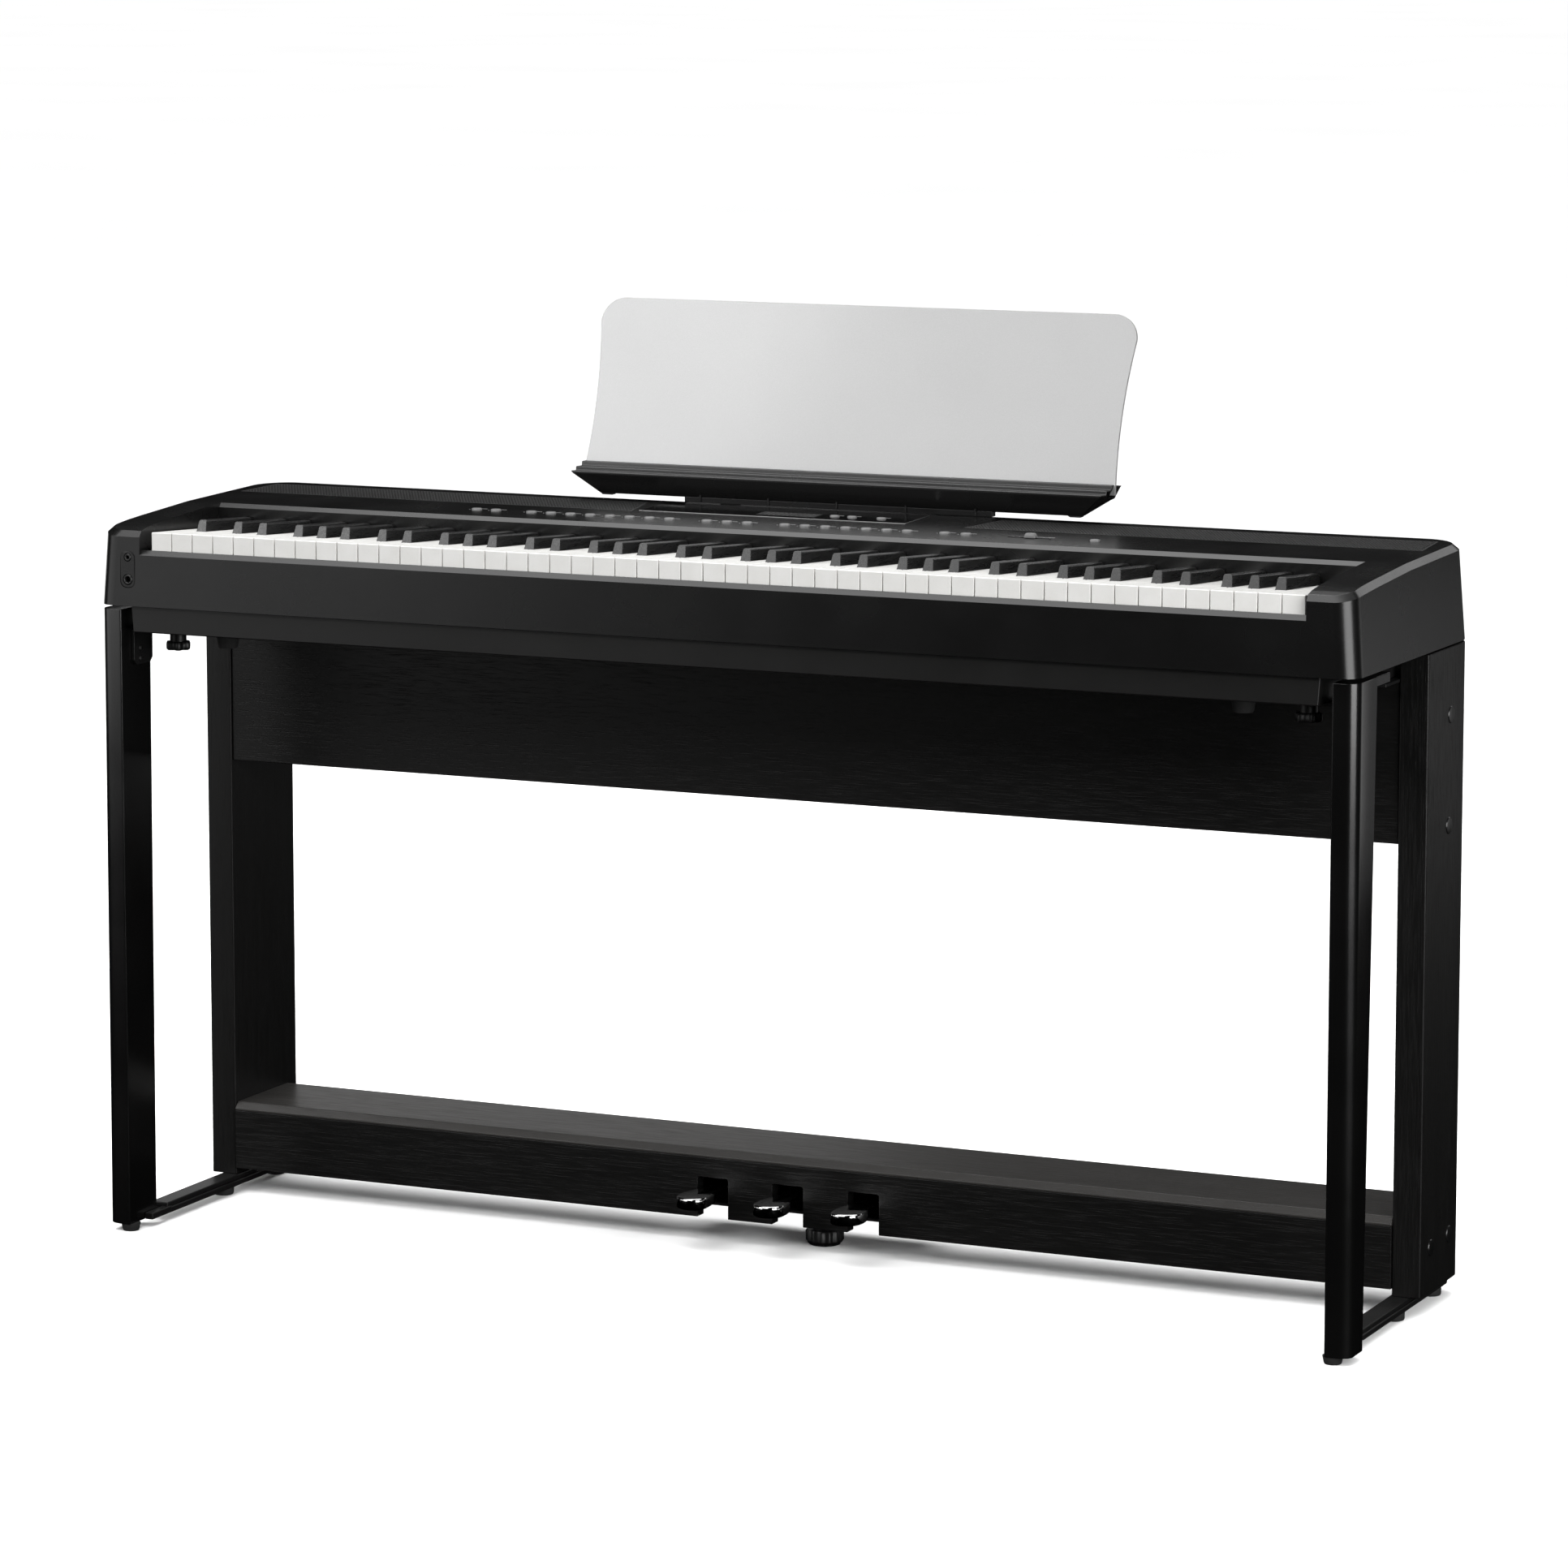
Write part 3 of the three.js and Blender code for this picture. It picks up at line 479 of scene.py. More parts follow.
def gloss(name, tone, rough=0.08):
    m = Nodes(name)
    smear = m.noise(30, 5, 0.65, (1, 0.4, 1))
    base = m.mix(m.ramp(smear, 0.35, 0.75), grey(tone), grey(tone * 1.6))
    m.bump(smear, 0.00002, 0.2)
    return m.set(Base_Color=base, Roughness=m.ramp(smear, 0.3, 0.8, rough, rough + 0.1))


def polished(name, tone=0.78, rough=0.05):
    m = Nodes(name)
    wipe = m.noise(220, 4, 0.6, (1, 0.08, 1))
    cloud = m.noise(25, 3)
    base = m.mix(m.ramp(cloud, 0.3, 0.7), grey(tone * 0.95), grey(tone * 1.03))
    m.bump(wipe, 0.00002, 0.25)
    return m.set(Base_Color=base, Metallic=1.0, Roughness=m.ramp(wipe, 0.35, 0.75, rough, rough + 0.1))


def rubber(name):
    m = Nodes(name)
    grain = m.noise(1400, 3)
    base = m.mix(m.ramp(grain, 0.3, 0.7), grey(0.012), grey(0.026))
    m.bump(grain, 0.00008, 0.6)
    return m.set(Base_Color=base, Roughness=m.ramp(grain, 0.3, 0.7, 0.7, 0.88))


def frosted():
    """The rest's frosted sheet: milky, satin, and slightly see-through."""
    m = Nodes("frosted_sheet")
    cloud = m.noise(6, 2)
    frost = m.noise(3200, 2)
    base = m.mix(m.ramp(cloud, 0.3, 0.7), (0.35, 0.35, 0.35, 1), (0.38, 0.38, 0.38, 1))
    m.bump(frost, 0.00003, 0.4)
    return m.set(Base_Color=base, Roughness=m.ramp(frost, 0.3, 0.7, 0.22, 0.32), Alpha=0.8,
                 Coat_Weight=1.0, Coat_Roughness=0.12)


def cloth(name, tone):
    m = Nodes(name)
    weave = m.add("ShaderNodeTexWave", wave_type="BANDS", bands_direction="DIAGONAL")
    weave.inputs["Scale"].default_value = 700
    m.link(m.place, weave.inputs["Vector"])
    base = m.mix(weave.outputs["Fac"], grey(tone * 0.6), grey(tone * 1.4))
    m.bump(weave.outputs["Fac"], 0.0002, 0.6)
    return m.set(Base_Color=base, Roughness=m.ramp(m.noise(300), 0.3, 0.7, 0.8, 0.95))


def printed(name, tone):
    """Pale screen print, a little worn."""
    m = Nodes(name)
    edge_highlight = m.noise(900, 4)
    base = m.mix(m.ramp(edge_highlight, 0.4, 0.75), grey(tone), grey(tone * 0.55))
    return m.set(Base_Color=base, Roughness=m.ramp(edge_highlight, 0.3, 0.7, 0.45, 0.6))


CASE = moulded("case_plastic", 0.0042, 0.26)
LOWER = moulded("lower_case_plastic", 0.006, 0.36, warm=0.02)
LEG = moulded("leg_paint", 0.0035, 0.19, grain=1800, shine=0.85)
WOOD_ACROSS = foil("board_foil", 0.004, 0.32, "X")
WOOD_UP = foil("post_foil", 0.004, 0.34, "Z")
STEEL = painted_steel("black_powder_coat", 0.005, 0.38)
GRILLE = painted_steel("grille_paint", 0.012, 0.42)
WHITE = key_white()
BLACK = key_black()
BUTTON = moulded("button_plastic", 0.13, 0.36, grain=2000)
GLOSS = gloss("window_gloss", 0.003)
JACK = gloss("socket_plastic", 0.012, 0.3)
CHROME = polished("pedal_chrome")
BRASS = polished("contact_metal", 0.55, 0.2)
RUBBER = rubber("foot_rubber")
KNOB = moulded("knob_plastic", 0.006, 0.42, grain=1500)
FROST = frosted()
CLOTH = cloth("speaker_cloth", 0.006)
PRINT = printed("panel_print", 0.34)
LAMP = gloss("display_glass", 0.05, 0.12)
CAP = moulded("screw_cap", 0.006, 0.3, grain=1500)
TRIM = polished("window_trim", 0.42, 0.3)
PRINT_DIM = printed("display_cells", 0.05)
BOARD = moulded("circuit_board", 0.05, 0.5)
# A lighter, warmer copy of the black board foil for the pedal shelf: its raised tone is a painted reflection
# of the bright backdrop on the shelf's top.
SHELF_FOIL_PAINTED_REFLECTION = foil("shelf_foil_painted_reflection", 0.026, 0.34, "X", 0.06)

# ---- instrument case
CROWN_STOPS = (20, 32, 46, 62, 80, 100, 126, 158, 220)  # y of the strips across the top


def case_plan():
    """The case's outline, with stops along its ends where the top curves."""
    plan = rounded(-CASE_HALF, CASE_HALF, CASE_LOW.y, CASE_HIGH.y,
                   (FRONT_RADIUS, FRONT_RADIUS, REAR_RADIUS, REAR_RADIUS), 14)
    quarter = len(plan) // 4
    right = [(CASE_HALF, y) for y in CROWN_STOPS]
    left = [(-CASE_HALF, y) for y in reversed(CROWN_STOPS)]
    return plan[:2 * quarter] + right + plan[2 * quarter:] + left


def case_point(x, y, side, front, rear, height):
    """A point of the outline, drawn in at the ends, front and rear, at the height for its y."""
    depth = CASE_HIGH.y - CASE_LOW.y
    back = CASE_LOW.y + front + (y - CASE_LOW.y) * (depth - front - rear) / depth
    return (x * (CASE_HALF - side) / CASE_HALF, back, height(back))


def case_shell():
    """Drafted sides, a chamfer all round, and a crowned top made of strips across the case."""
    def shoulder_at(y):
        """The chamfer's lower edge: a little deeper along the ends than across the front."""
        return crown_at(y) - 4.6 - 1.4 * min(1, max(0, y - CASE_LOW.y) / 40)

    plan = case_plan()
    levels = [(0, 0, 0, lambda y: CASE_LOW.z), (5, 2, 7, shoulder_at), (10.6, 6.2, 12, crown_at)]
    bm = bmesh.new()
    loops = [[bm.verts.new(case_point(x, y, *level)) for x, y in plan] for level in levels]
    for low, high in zip(loops, loops[1:]):
        skin(bm, low, high)
    bm.faces.new(list(reversed(loops[0])))
    top = loops[-1]
    count = len(plan)
    quarter = (count - 2 * len(CROWN_STOPS)) // 4
    rear_left = quarter * 3 + len(CROWN_STOPS)
    right = list(range(quarter, rear_left))
    left = list(range(quarter - 1, -1, -1)) + list(range(count - 1, rear_left - 1, -1))
    for a, b, c, d in zip(left, right, right[1:], left[1:]):
        bm.faces.new((top[a], top[b], top[c], top[d]))
    bmesh.ops.recalc_face_normals(bm, faces=bm.faces)
    return bm


def spread(first, count, last):
    return [first + (last - first) * i / (count - 1) for i in range(count)]


def hole(x, y, width, depth):
    return on_top(prism_z(oval(x, 0, width, depth), -9, 5), y)


def grille_outline(inner, room=0.0):
    """A right-hand grille with slanted ends, with room round it for its recess."""
    back = GRILLE_HIGH.y - GRILLE_LOW.y + room
    return [(inner - room, -room), (GRILLE_OUTER + room, -room), (GRILLE_OUTER - 6 + room, back),
            (inner + 14 - room, back)]


def upper_case():
    case = make("upper_case_shell", case_shell(), CASE, "case_black", soften=0.9, segments=3,
                stands_for=["upper_case"], smooth=25)
    settle(case)
    low = CASE_LOW.z - 5
    bevel_foot = top_at(PANEL_EDGE) - PANEL_BEVEL[1]
    lip_foot = key_top(WALL_FRONT) + 1
    slip_rear = CASE_LOW.y + BEVEL
    roof = [(y, top_at(y) - ROOF) for y in (CASE_HIGH.y - 14, PANEL_EDGE + 4)]
    room = [(slip_rear, low), (CASE_HIGH.y - 8, low), *roof, (PANEL_EDGE + 4, lip_foot),
            (WALL_FRONT, lip_foot), (WALL_FRONT, bevel_foot), (PANEL_EDGE + 3, top_at(PANEL_EDGE) + 2),
            (CASE_LOW.y - 8, ABOVE), (CASE_LOW.y - 8, SLIP_TOP - BEVEL - 8), (slip_rear, SLIP_TOP)]
    carve(case, prism_x(room, -WELL_HALF, WELL_HALF))
    sockets = prism_y(rounded(-641, -624, 664, 701, (7,) * 4, 6), CASE_LOW.y - 4, 10)
    ports = block(-61, 141, CASE_HIGH.y - 20, CASE_HIGH.y + 4, 658, 692)
    recesses = [prism_z(grille_outline(inner, 0.3), -PLATE_DEPTH, 5) for inner in GRILLES.values()]
    recesses = [on_top(recesses[0], GRILLE_LOW.y), on_top(mirrored(recesses[1]), GRILLE_LOW.y)]
    window = block(WINDOW_LOW.x - 0.3, WINDOW_HIGH.x + 0.3, -0.3, WINDOW_HIGH.y - WINDOW_LOW.y + 0.3,
                   -PLATE_DEPTH, 5)
    window = on_top(window, WINDOW_LOW.y)
    carve(case, merged(sockets, ports, *recesses, window))
    holes = [hole(x, BUTTON_ROW, 12, 9.5) for group in BUTTON_GROUPS.values() for x in spread(*group)]
    holes += [hole(x, DISPLAY_ROW, 12, 9) for x in DISPLAY_BUTTONS]
    holes.append(hole(POWER_X, BUTTON_ROW, 12, 10))
    holes.append(on_top(block(*SLIDER_SLOT, -1.8, 1.8, -9, 5), BUTTON_ROW))
    holes += [block(side * REST_PIN_X - 10.5, side * REST_PIN_X + 10.5, 321.5, 328.5, 722, ABOVE)
              for side in (LEFT, RIGHT)]
    carve(case, merged(*holes))
    return crisp(case)


def lower_case():
    draft = 2
    section = [(LOWER_LOW.x + draft, LOWER_LOW.z), (LOWER_HIGH.x - draft, LOWER_LOW.z),
               (LOWER_HIGH.x, LOWER_HIGH.z), (LOWER_LOW.x, LOWER_HIGH.z)]
    make("lower_case_tray", prism_y(section, LOWER_LOW.y, LOWER_HIGH.y), LOWER, "lower_black",
         soften=1.2, segments=3, stands_for=["lower_case"])
    cone = [(8, 603.5), (9, 603), (10, 604.5), (12, 617), (12.5, LOWER_LOW.z + 0.4)]
    feet = [lathe(cone, x, y) for x in (-543, 543) for y in (36, 290)]
    make("instrument_feet", merged(*feet), RUBBER, "foot_rubber")
    screws = [lathe([(4.5, LOWER_LOW.z + 0.3), (4.5, 617.6), (2.6, 616.9), (2.2, 617.7)], x, y)
              for x in (-480, -240, 0, 240, 480) for y in (20, 150, 300)]
    make("case_screws", merged(*screws), STEEL, "stand_steel")


def collar(x, z, front, inner, outer, proud, depth=6.0):
    """A round socket collar facing -y, whose flat face stands proud of the plane at front."""
    profile = [(inner, depth), (inner, -proud + 0.3), (inner + 0.3, -proud), (outer - 0.4, -proud),
               (outer, -proud + 0.4), (outer, depth)]
    rings = []
    for radius, back in profile:
        rings.append([(x + radius * math.cos(a), front + back, z + radius * math.sin(a))
                      for a in (2 * math.pi * i / 32 for i in range(32))])
    return ring_mesh(rings, closed=True)


def jack_panel():
    low, high = span("jack_panel")
    outline = rounded(low.x, high.x, low.z, high.z, (6.7,) * 4, 8)
    plate = make("socket_plate", prism_y(outline, low.y, high.y), CASE, "jack_black", soften=0.5,
                 stands_for=["jack_panel"])
    settle(plate)
    tools = [prism_y(arc(JACK_X, z, radius + 2.4, 0, 350, 35), low.y - 5, high.y + 5)
             for z, radius in JACK_ROWS.items()]
    crisp(carve(plate, merged(*tools)))
    collars = [collar(JACK_X, z, low.y, radius, radius + 1.7, 0.4) for z, radius in JACK_ROWS.items()]
    make("socket_collars", merged(*collars), JACK, "jack_black")
    barrels = [collar(JACK_X, z, low.y + 7, radius - 0.5, radius - 0.05, 0, 8)
               for z, radius in JACK_ROWS.items()]
    make("socket_contacts", merged(*barrels), BRASS, "jack_black")


def connector_panel():
    low, high = span("connector_panel")
    plate = make("connector_plate", block(low.x, high.x, low.y, high.y, low.z, high.z), STEEL,
                 "connector_steel", soften=0.4, stands_for=["connector_panel"])
    settle(plate)
    rear, z = high.y, REAR_SOCKET_ROW
    tools = [block(x0, x1, rear - 10, rear + 10, z0, z1) for x0, x1, z0, z1 in DATA_PORTS]
    tools += [prism_y(arc(x, z, radius + 1.9, 0, 345, 23), rear - 10, rear + 10)
              for x, radius in REAR_SOCKETS.items()]
    crisp(carve(plate, merged(*tools)))
    collars = []
    for x, radius in REAR_SOCKETS.items():
        ring = collar(x, z, -rear, radius, radius + 1.8, 1.2, 5)
        collars.append(turned(ring, math.pi, "Z", (x, 0, z)))
    make("rear_socket_collars", merged(*collars), JACK, "connector_steel")
    shells = []
    for x0, x1, z0, z1 in DATA_PORTS:
        outer = [(x0, z0), (x1, z0), (x1, z1), (x0, z1)]
        inner = [(x0 + 0.5, z0 + 0.5), (x1 - 0.5, z0 + 0.5), (x1 - 0.5, z1 - 0.5), (x0 + 0.5, z1 - 0.5)]
        loops = ((outer, rear - 9), (outer, rear + 0.2), (inner, rear + 0.2), (inner, rear - 9))
        shells.append(ring_mesh([[(x, y, height) for x, height in loop] for loop, y in loops], closed=True))
        middle = (z0 + z1) / 2
        shells.append(block(x0 + 2.5, x1 - 2.5, rear - 8, rear - 1.5, middle - 0.9, middle + 0.9))
    make("data_port_shells", merged(*shells), BRASS, "connector_steel")
    pin = prism_y(arc(max(REAR_SOCKETS), z, 1, 0, 330, 11), rear - 8, rear - 0.5)
    make("inlet_pin", pin, BRASS, "connector_steel", soften=0.3)
    marks = [block(x - 4, x + 4, rear, rear + 0.06, 684, 685.2) for x in (-43.5, -18, *REAR_SOCKETS)]
    make("connector_marks", merged(*marks), PRINT, "connector_steel")


def perforated(points, pitch, radius, thickness):
    """A sheet in the level plane with a hexagonal pattern of holes, inside a convex outline."""
    def depth_inside(x, y):
        reach = 1e9
        for (ax, ay), (bx, by) in zip(points, points[1:] + points[:1]):
            length = math.hypot(bx - ax, by - ay)
            reach = min(reach, ((bx - ax) * (y - ay) - (by - ay) * (x - ax)) / length)
        return reach

    bm = bmesh.new()
    shared = {}

    def vertex(x, y, z):
        key = (round(x, 2), round(y, 2), round(z, 2))
        if key not in shared:
            shared[key] = bm.verts.new((x, y, z))
        return shared[key]

    row_step = pitch * math.sqrt(3) / 2
    cell = pitch / math.sqrt(3)
    xs, ys = [p[0] for p in points], [p[1] for p in points]
    row = 0
    y = min(ys) + pitch
    corner = [math.radians(30 + 60 * k) for k in range(6)]
    while y < max(ys):
        x = min(xs) + pitch * (0.5 if row % 2 else 1.0)
        while x < max(xs):
            if depth_inside(x, y) > pitch * 0.62:
                outer = [vertex(x + cell * math.cos(a), y + cell * math.sin(a), 0) for a in corner]
                rim = [vertex(x + radius * math.cos(a), y + radius * math.sin(a), 0) for a in corner]
                foot = [vertex(x + radius * math.cos(a), y + radius * math.sin(a), -thickness)
                        for a in corner]
                for k in range(6):
                    j = (k + 1) % 6
                    bm.faces.new((outer[k], outer[j], rim[j], rim[k]))
                    bm.faces.new((rim[k], rim[j], foot[j], foot[k]))
            x += pitch
        y += row_step
        row += 1
    return bm


def grilles():
    pitch, radius, sheet = 3.4, 1.15, 0.7
    for side, inner in GRILLES.items():
        plan = grille_outline(inner)
        hem = [(x + (2.2 if x < 400 else -2.2), 2.2 if y < 10 else y - 2.2) for x, y in plan]
        frame_rings = [[(x, y, z) for x, y in loop]
                       for loop, z in ((plan, -1.2), (plan, -0.05), (hem, -0.05), (hem, -1.2))]
        rim = ring_mesh(frame_rings, closed=True)
        backing = prism_z(plan, -PLATE_DEPTH + 0.05, -PLATE_DEPTH + 0.35)
        holes = perforated(plan, pitch, radius, sheet)
        flip = mirrored if side == "left" else (lambda bm: bm)
        node = f"speaker_grille_{side}"
        make(f"grille_{side}", on_top(flip(holes), GRILLE_LOW.y), GRILLE, "grille_steel", stands_for=[node])
        make(f"grille_rim_{side}", on_top(flip(rim), GRILLE_LOW.y), GRILLE, "grille_steel")
        make(f"grille_cloth_{side}", on_top(flip(backing), GRILLE_LOW.y), CLOTH, "speaker_paper")


def display():
    depth = WINDOW_HIGH.y - WINDOW_LOW.y
    pane = block(WINDOW_LOW.x, WINDOW_HIGH.x, 0, depth, -PLATE_DEPTH + 0.3, 0.3)
    plate = make("display_glass", on_top(pane, WINDOW_LOW.y), GLOSS, "display_gloss", soften=0.25,
                 stands_for=["display_window"])
    settle(plate)
    crisp(carve(plate, merged(*[hole(x, DISPLAY_ROW, 12, 9) for x in DISPLAY_BUTTONS])))
    trim = merged(block(WINDOW_LOW.x, WINDOW_HIGH.x + 1, -1.4, -0.2, 0, 0.45),
                  block(WINDOW_HIGH.x, WINDOW_HIGH.x + 1, -0.2, depth, 0, 0.45))
    make("display_trim", on_top(trim, WINDOW_LOW.y), TRIM, "display_gloss", soften=0.15)
    screen = block(-62, 2, 12, 34, 0.28, 0.36)
    make("display_screen", on_top(screen, WINDOW_LOW.y), LAMP, "display_gloss", soften=0.03)
    lit = [block(x, x + 2.4, y, y + 1.1, 0.36, 0.4) for y in (17, 22, 27) for x in range(-56, -2, 5)]
    make("display_cells", on_top(merged(*lit), WINDOW_LOW.y), PRINT_DIM, "display_gloss")


# ---- keys
BLACK_OFFSET = (-2.4, 2.4, None, -3.2, 0, 3.2, None)  # from the gap above C, D, E, F, G, A, B
WHITE_COUNT = 52
FIRST_NOTE = 5
KEYS_LEFT = KEYS_LOW.x - KEY_GAP / 2


def key_left(i):
    return KEYS_LEFT + i * KEY_PITCH


def key_top(y):
    return KEYS_HIGH.z - KEY_FALL * (y - KEYS_LOW.y)


def black_above(i):
    return None if i < 0 or i >= WHITE_COUNT - 1 else BLACK_OFFSET[(i + FIRST_NOTE) % 7]


def white_key(i):
    clear = BLACK_WIDTH / 2 + KEY_GAP
    left, right = key_left(i) + KEY_GAP / 2, key_left(i + 1) - KEY_GAP / 2
    below, above = black_above(i - 1), black_above(i)
    tail_left = left if below is None else key_left(i) + below + clear
    tail_right = right if above is None else key_left(i + 1) + above - clear
    head = KEY_HEAD - KEY_GAP
    points = [(left, KEYS_LOW.y), (right, KEYS_LOW.y)]
    rear = KEYS_HIGH.y - 4
    points += [(right, rear)] if above is None else [(right, head), (tail_right, head), (tail_right, rear)]
    points += [(left, rear)] if below is None else [(tail_left, rear), (tail_left, head), (left, head)]
    return ring_mesh([[(x, y, KEYS_LOW.z) for x, y in points], [(x, y, key_top(y)) for x, y in points]])


def black_key(i):
    """Tapered sides, rounded shoulders and a sloping front; the low tail runs back under the panel."""
    x = key_left(i + 1) + black_above(i)
    half, crown, shoulder, slope = 5.9, 4.55, 2.0, 0.33
    foot, rise = key_top(KEY_HEAD) - 1.2, 12.9
    right = [(half, -2.5), (half, 0.8), (half - 0.35, 2.2)]
    right += arc(crown - shoulder, rise - shoulder, shoulder, 6, 90, 6)
    section = right + [(-across, up) for across, up in reversed(right)]
    rings = []
    for y, sink in ((KEY_HEAD + 3.6, 0), (WALL_FRONT - 3.5, 0.9), (WALL_FRONT - 0.8, 4)):
        fall = KEY_FALL * (y - KEY_HEAD) + sink
        lean = slope if y < KEY_HEAD + 10 else 0
        rings.append([(x + across, y + (up - 1.2) * lean, foot + up - fall - (up - 1.2) * lean * KEY_FALL)
                      for across, up in section])
    tail = block(x - half + 0.4, x + half - 0.4, KEY_HEAD + 6, SHARPS_HIGH.y, SHARPS_LOW.z, foot - 8)
    return merged(ring_mesh(rings), tail)


def keyboard():
    whites = {"white_keys_low": range(0, 23), "key_c4": [23], "key_d4": [24], "key_e4": [25],
              "key_f4": [26], "key_g4": [27], "white_keys_high": range(28, WHITE_COUNT)}
    blacks = {"black_keys_low": range(0, 22), "key_c4_sharp": [23], "key_d4_sharp": [24],
              "key_f4_sharp": [26], "black_keys_high": range(27, WHITE_COUNT - 1)}
    for body, places in whites.items():
        keys = merged(*[white_key(i) for i in places])
        make(f"{body}_tops", keys, WHITE, "white_keys", body, soften=0.9, segments=3, stands_for=[body])
    for body, places in blacks.items():
        keys = merged(*[black_key(i) for i in places if black_above(i) is not None])
        make(f"{body}_tops", keys, BLACK, "black_keys", body, soften=0.7, segments=3, stands_for=[body])


# ---- controls
def button_cap(x, width, depth, proud=1.7):
    """An oval cap with a softly crowned top, its skirt inside the panel."""
    levels = [(0, -6.5), (0, proud - 0.7), (0.35, proud - 0.2), (1.0, proud + 0.05), (2.0, proud + 0.2)]
    return ring_mesh([[(px, py, z) for px, py in oval(x, 0, width - 2 * inset, depth - 2 * inset)]
                      for inset, z in levels])


def controls():
    for body, group in BUTTON_GROUPS.items():
        caps = [on_top(button_cap(x, 11, 8.5), BUTTON_ROW) for x in spread(*group)]
        make(f"{body}_caps", merged(*caps), BUTTON, "button_grey", body, stands_for=[body], smooth=45)
    caps = [on_top(button_cap(x, 10, 7), DISPLAY_ROW) for x in DISPLAY_BUTTONS]
    make("buttons_display_caps", merged(*caps), BUTTON, "button_grey", "buttons_display",
         stands_for=["buttons_display"], smooth=45)
    make("power_button_cap", on_top(button_cap(POWER_X, 10, 8), BUTTON_ROW), BUTTON, "button_grey",
         "power_button", stands_for=["power_button"], smooth=45)
    rings = []
    for inset, z in ((0, 0.4), (0, 1.6), (1.2, 4.2), (1.8, 4.7)):
        half, deep = 6 - inset, 4 - inset / 2
        outline = rounded(SLIDER_X - half, SLIDER_X + half, -deep, deep, (1.5,) * 4, 4)
        rings.append([(px, py, z) for px, py in outline])
    knob = [ring_mesh(rings),
            block(SLIDER_X - 0.4, SLIDER_X + 0.4, -3, 3, 4.5, 4.95),
            block(SLIDER_X - 3, SLIDER_X + 3, -1.4, 1.4, -7, 1)]
    make("volume_knob", on_top(merged(*knob), BUTTON_ROW), BUTTON, "button_grey", "volume_slider", soften=0.2,
         stands_for=["volume_slider"])
    marks = []
    for group in BUTTON_GROUPS.values():
        for x in spread(*group):
            marks.append(block(x - 3.5, x + 8, 7.4, 8.7, 0, 0.05))
            marks.append(block(x - 2, x + 7, -7.6, -7.1, 0, 0.05))
            marks.append(prism_z(arc(x - 8.2, 0, 0.7, 0, 330, 11), 0, 0.15))
    marks.append(prism_z(arc(POWER_X, 10, 1.8, 120, 420, 12) + arc(POWER_X, 10, 1.2, 420, 120, 12), 0, 0.05))
    ramp = [(SLIDER_SLOT[0], 8), (SLIDER_SLOT[1], 8), (SLIDER_SLOT[1], 9.6)]
    marks.append(prism_z(ramp, 0, 0.05))
    marks += [block(x - 0.3, x + 0.3, 4.6, 6.4, 0, 0.05)
              for x in spread(SLIDER_SLOT[0] + 4, 7, SLIDER_SLOT[1] - 4)]
    make("panel_marks", on_top(merged(*marks), BUTTON_ROW), PRINT, "button_grey")
    over = [block(x - 4, x + 7, 6.6, 7.8, 0.3, 0.36) for x in DISPLAY_BUTTONS]
    make("display_marks", on_top(merged(*over), DISPLAY_ROW), PRINT, "button_grey")


# ---- music rest
def music_rest():
    body = "music_rest"
    profile = [(306, 765.2), (306, 767.9), (317.8, 767.2), (318.6, 771.3), (331.2, 770.9), (332.2, 775.4),
               (340.9, 775.2), (341.2, 762), (345.6, 762), (345.8, 774.4), (349, 774), (349, 758),
               (329, REST_KEEL), (321, REST_KEEL)]

    def half_at(y, z):
        """The ends lean out from the narrow keel to the wide ledge."""
        rise = min(1, max(0, (z - REST_KEEL) / (767 - REST_KEEL)))
        return 266 + rise * 27 + (4.4 if y > 345 else 0) * rise

    rings = [[(side * half_at(y, z), y, z) for y, z in profile] for side in (LEFT, RIGHT)]
    make("rest_ledge", ring_mesh(rings), CASE, "case_black", body, soften=1.0, segments=3,
         stands_for=["music_rest_base"])
    holder = block(-170, 170, 320.5, 329.5, 739.6, 745)
    pins = [block(side * REST_PIN_X - 10, side * REST_PIN_X + 10, 322, 328, 726, 740)
            for side in (LEFT, RIGHT)]
    ribs = [block(x - 0.8, x + 0.8, 318.9, 321, 739.4, 752) for x in (-152, -76, 0, 76, 152)]
    make("rest_holder", merged(holder, *pins, *ribs), CASE, "case_black", body, soften=0.4)
    pad = [(250, 744.8), (253, 743), (264, 743), (266, 744.8)]
    pads = [prism_y([(side * x, z) for x, z in pad], 321.5, 328.5) for side in (LEFT, RIGHT)]
    make("rest_pads", merged(*pads), RUBBER, "foot_rubber", body, soften=0.3)
    make("rest_sheet", sheet_shell(), FROST, "frosted_sheet", body, soften=0.5, segments=2,
         stands_for=["music_rest_sheet"])


def sheet_shell():
    """Frosted sheet with rounded top corners and slightly hollow sides."""
    foot, waist, head, radius, height, low = 294, 286, 297, 26, 176, -8
    side = []
    bend = height * 0.4
    for i in range(17):
        t = i / 16
        x = (1 - t) ** 2 * foot + 2 * t * (1 - t) * waist + t * t * head
        side.append((x, (1 - t) ** 2 * low + 2 * t * (1 - t) * bend + t * t * (height - radius)))
    right = side + arc(head - radius, height - radius, radius, 0, 90, 12)[1:]
    outline = right + [(-x, h) for x, h in reversed(right)]
    rings = []
    for thick in (-1.55, 1.55):
        rings.append([(x, SHEET_FOOT[0] + h * math.sin(LEAN) + thick * math.cos(LEAN),
                       SHEET_FOOT[1] + h * math.cos(LEAN) - thick * math.sin(LEAN)) for x, h in outline])
    return ring_mesh(rings)


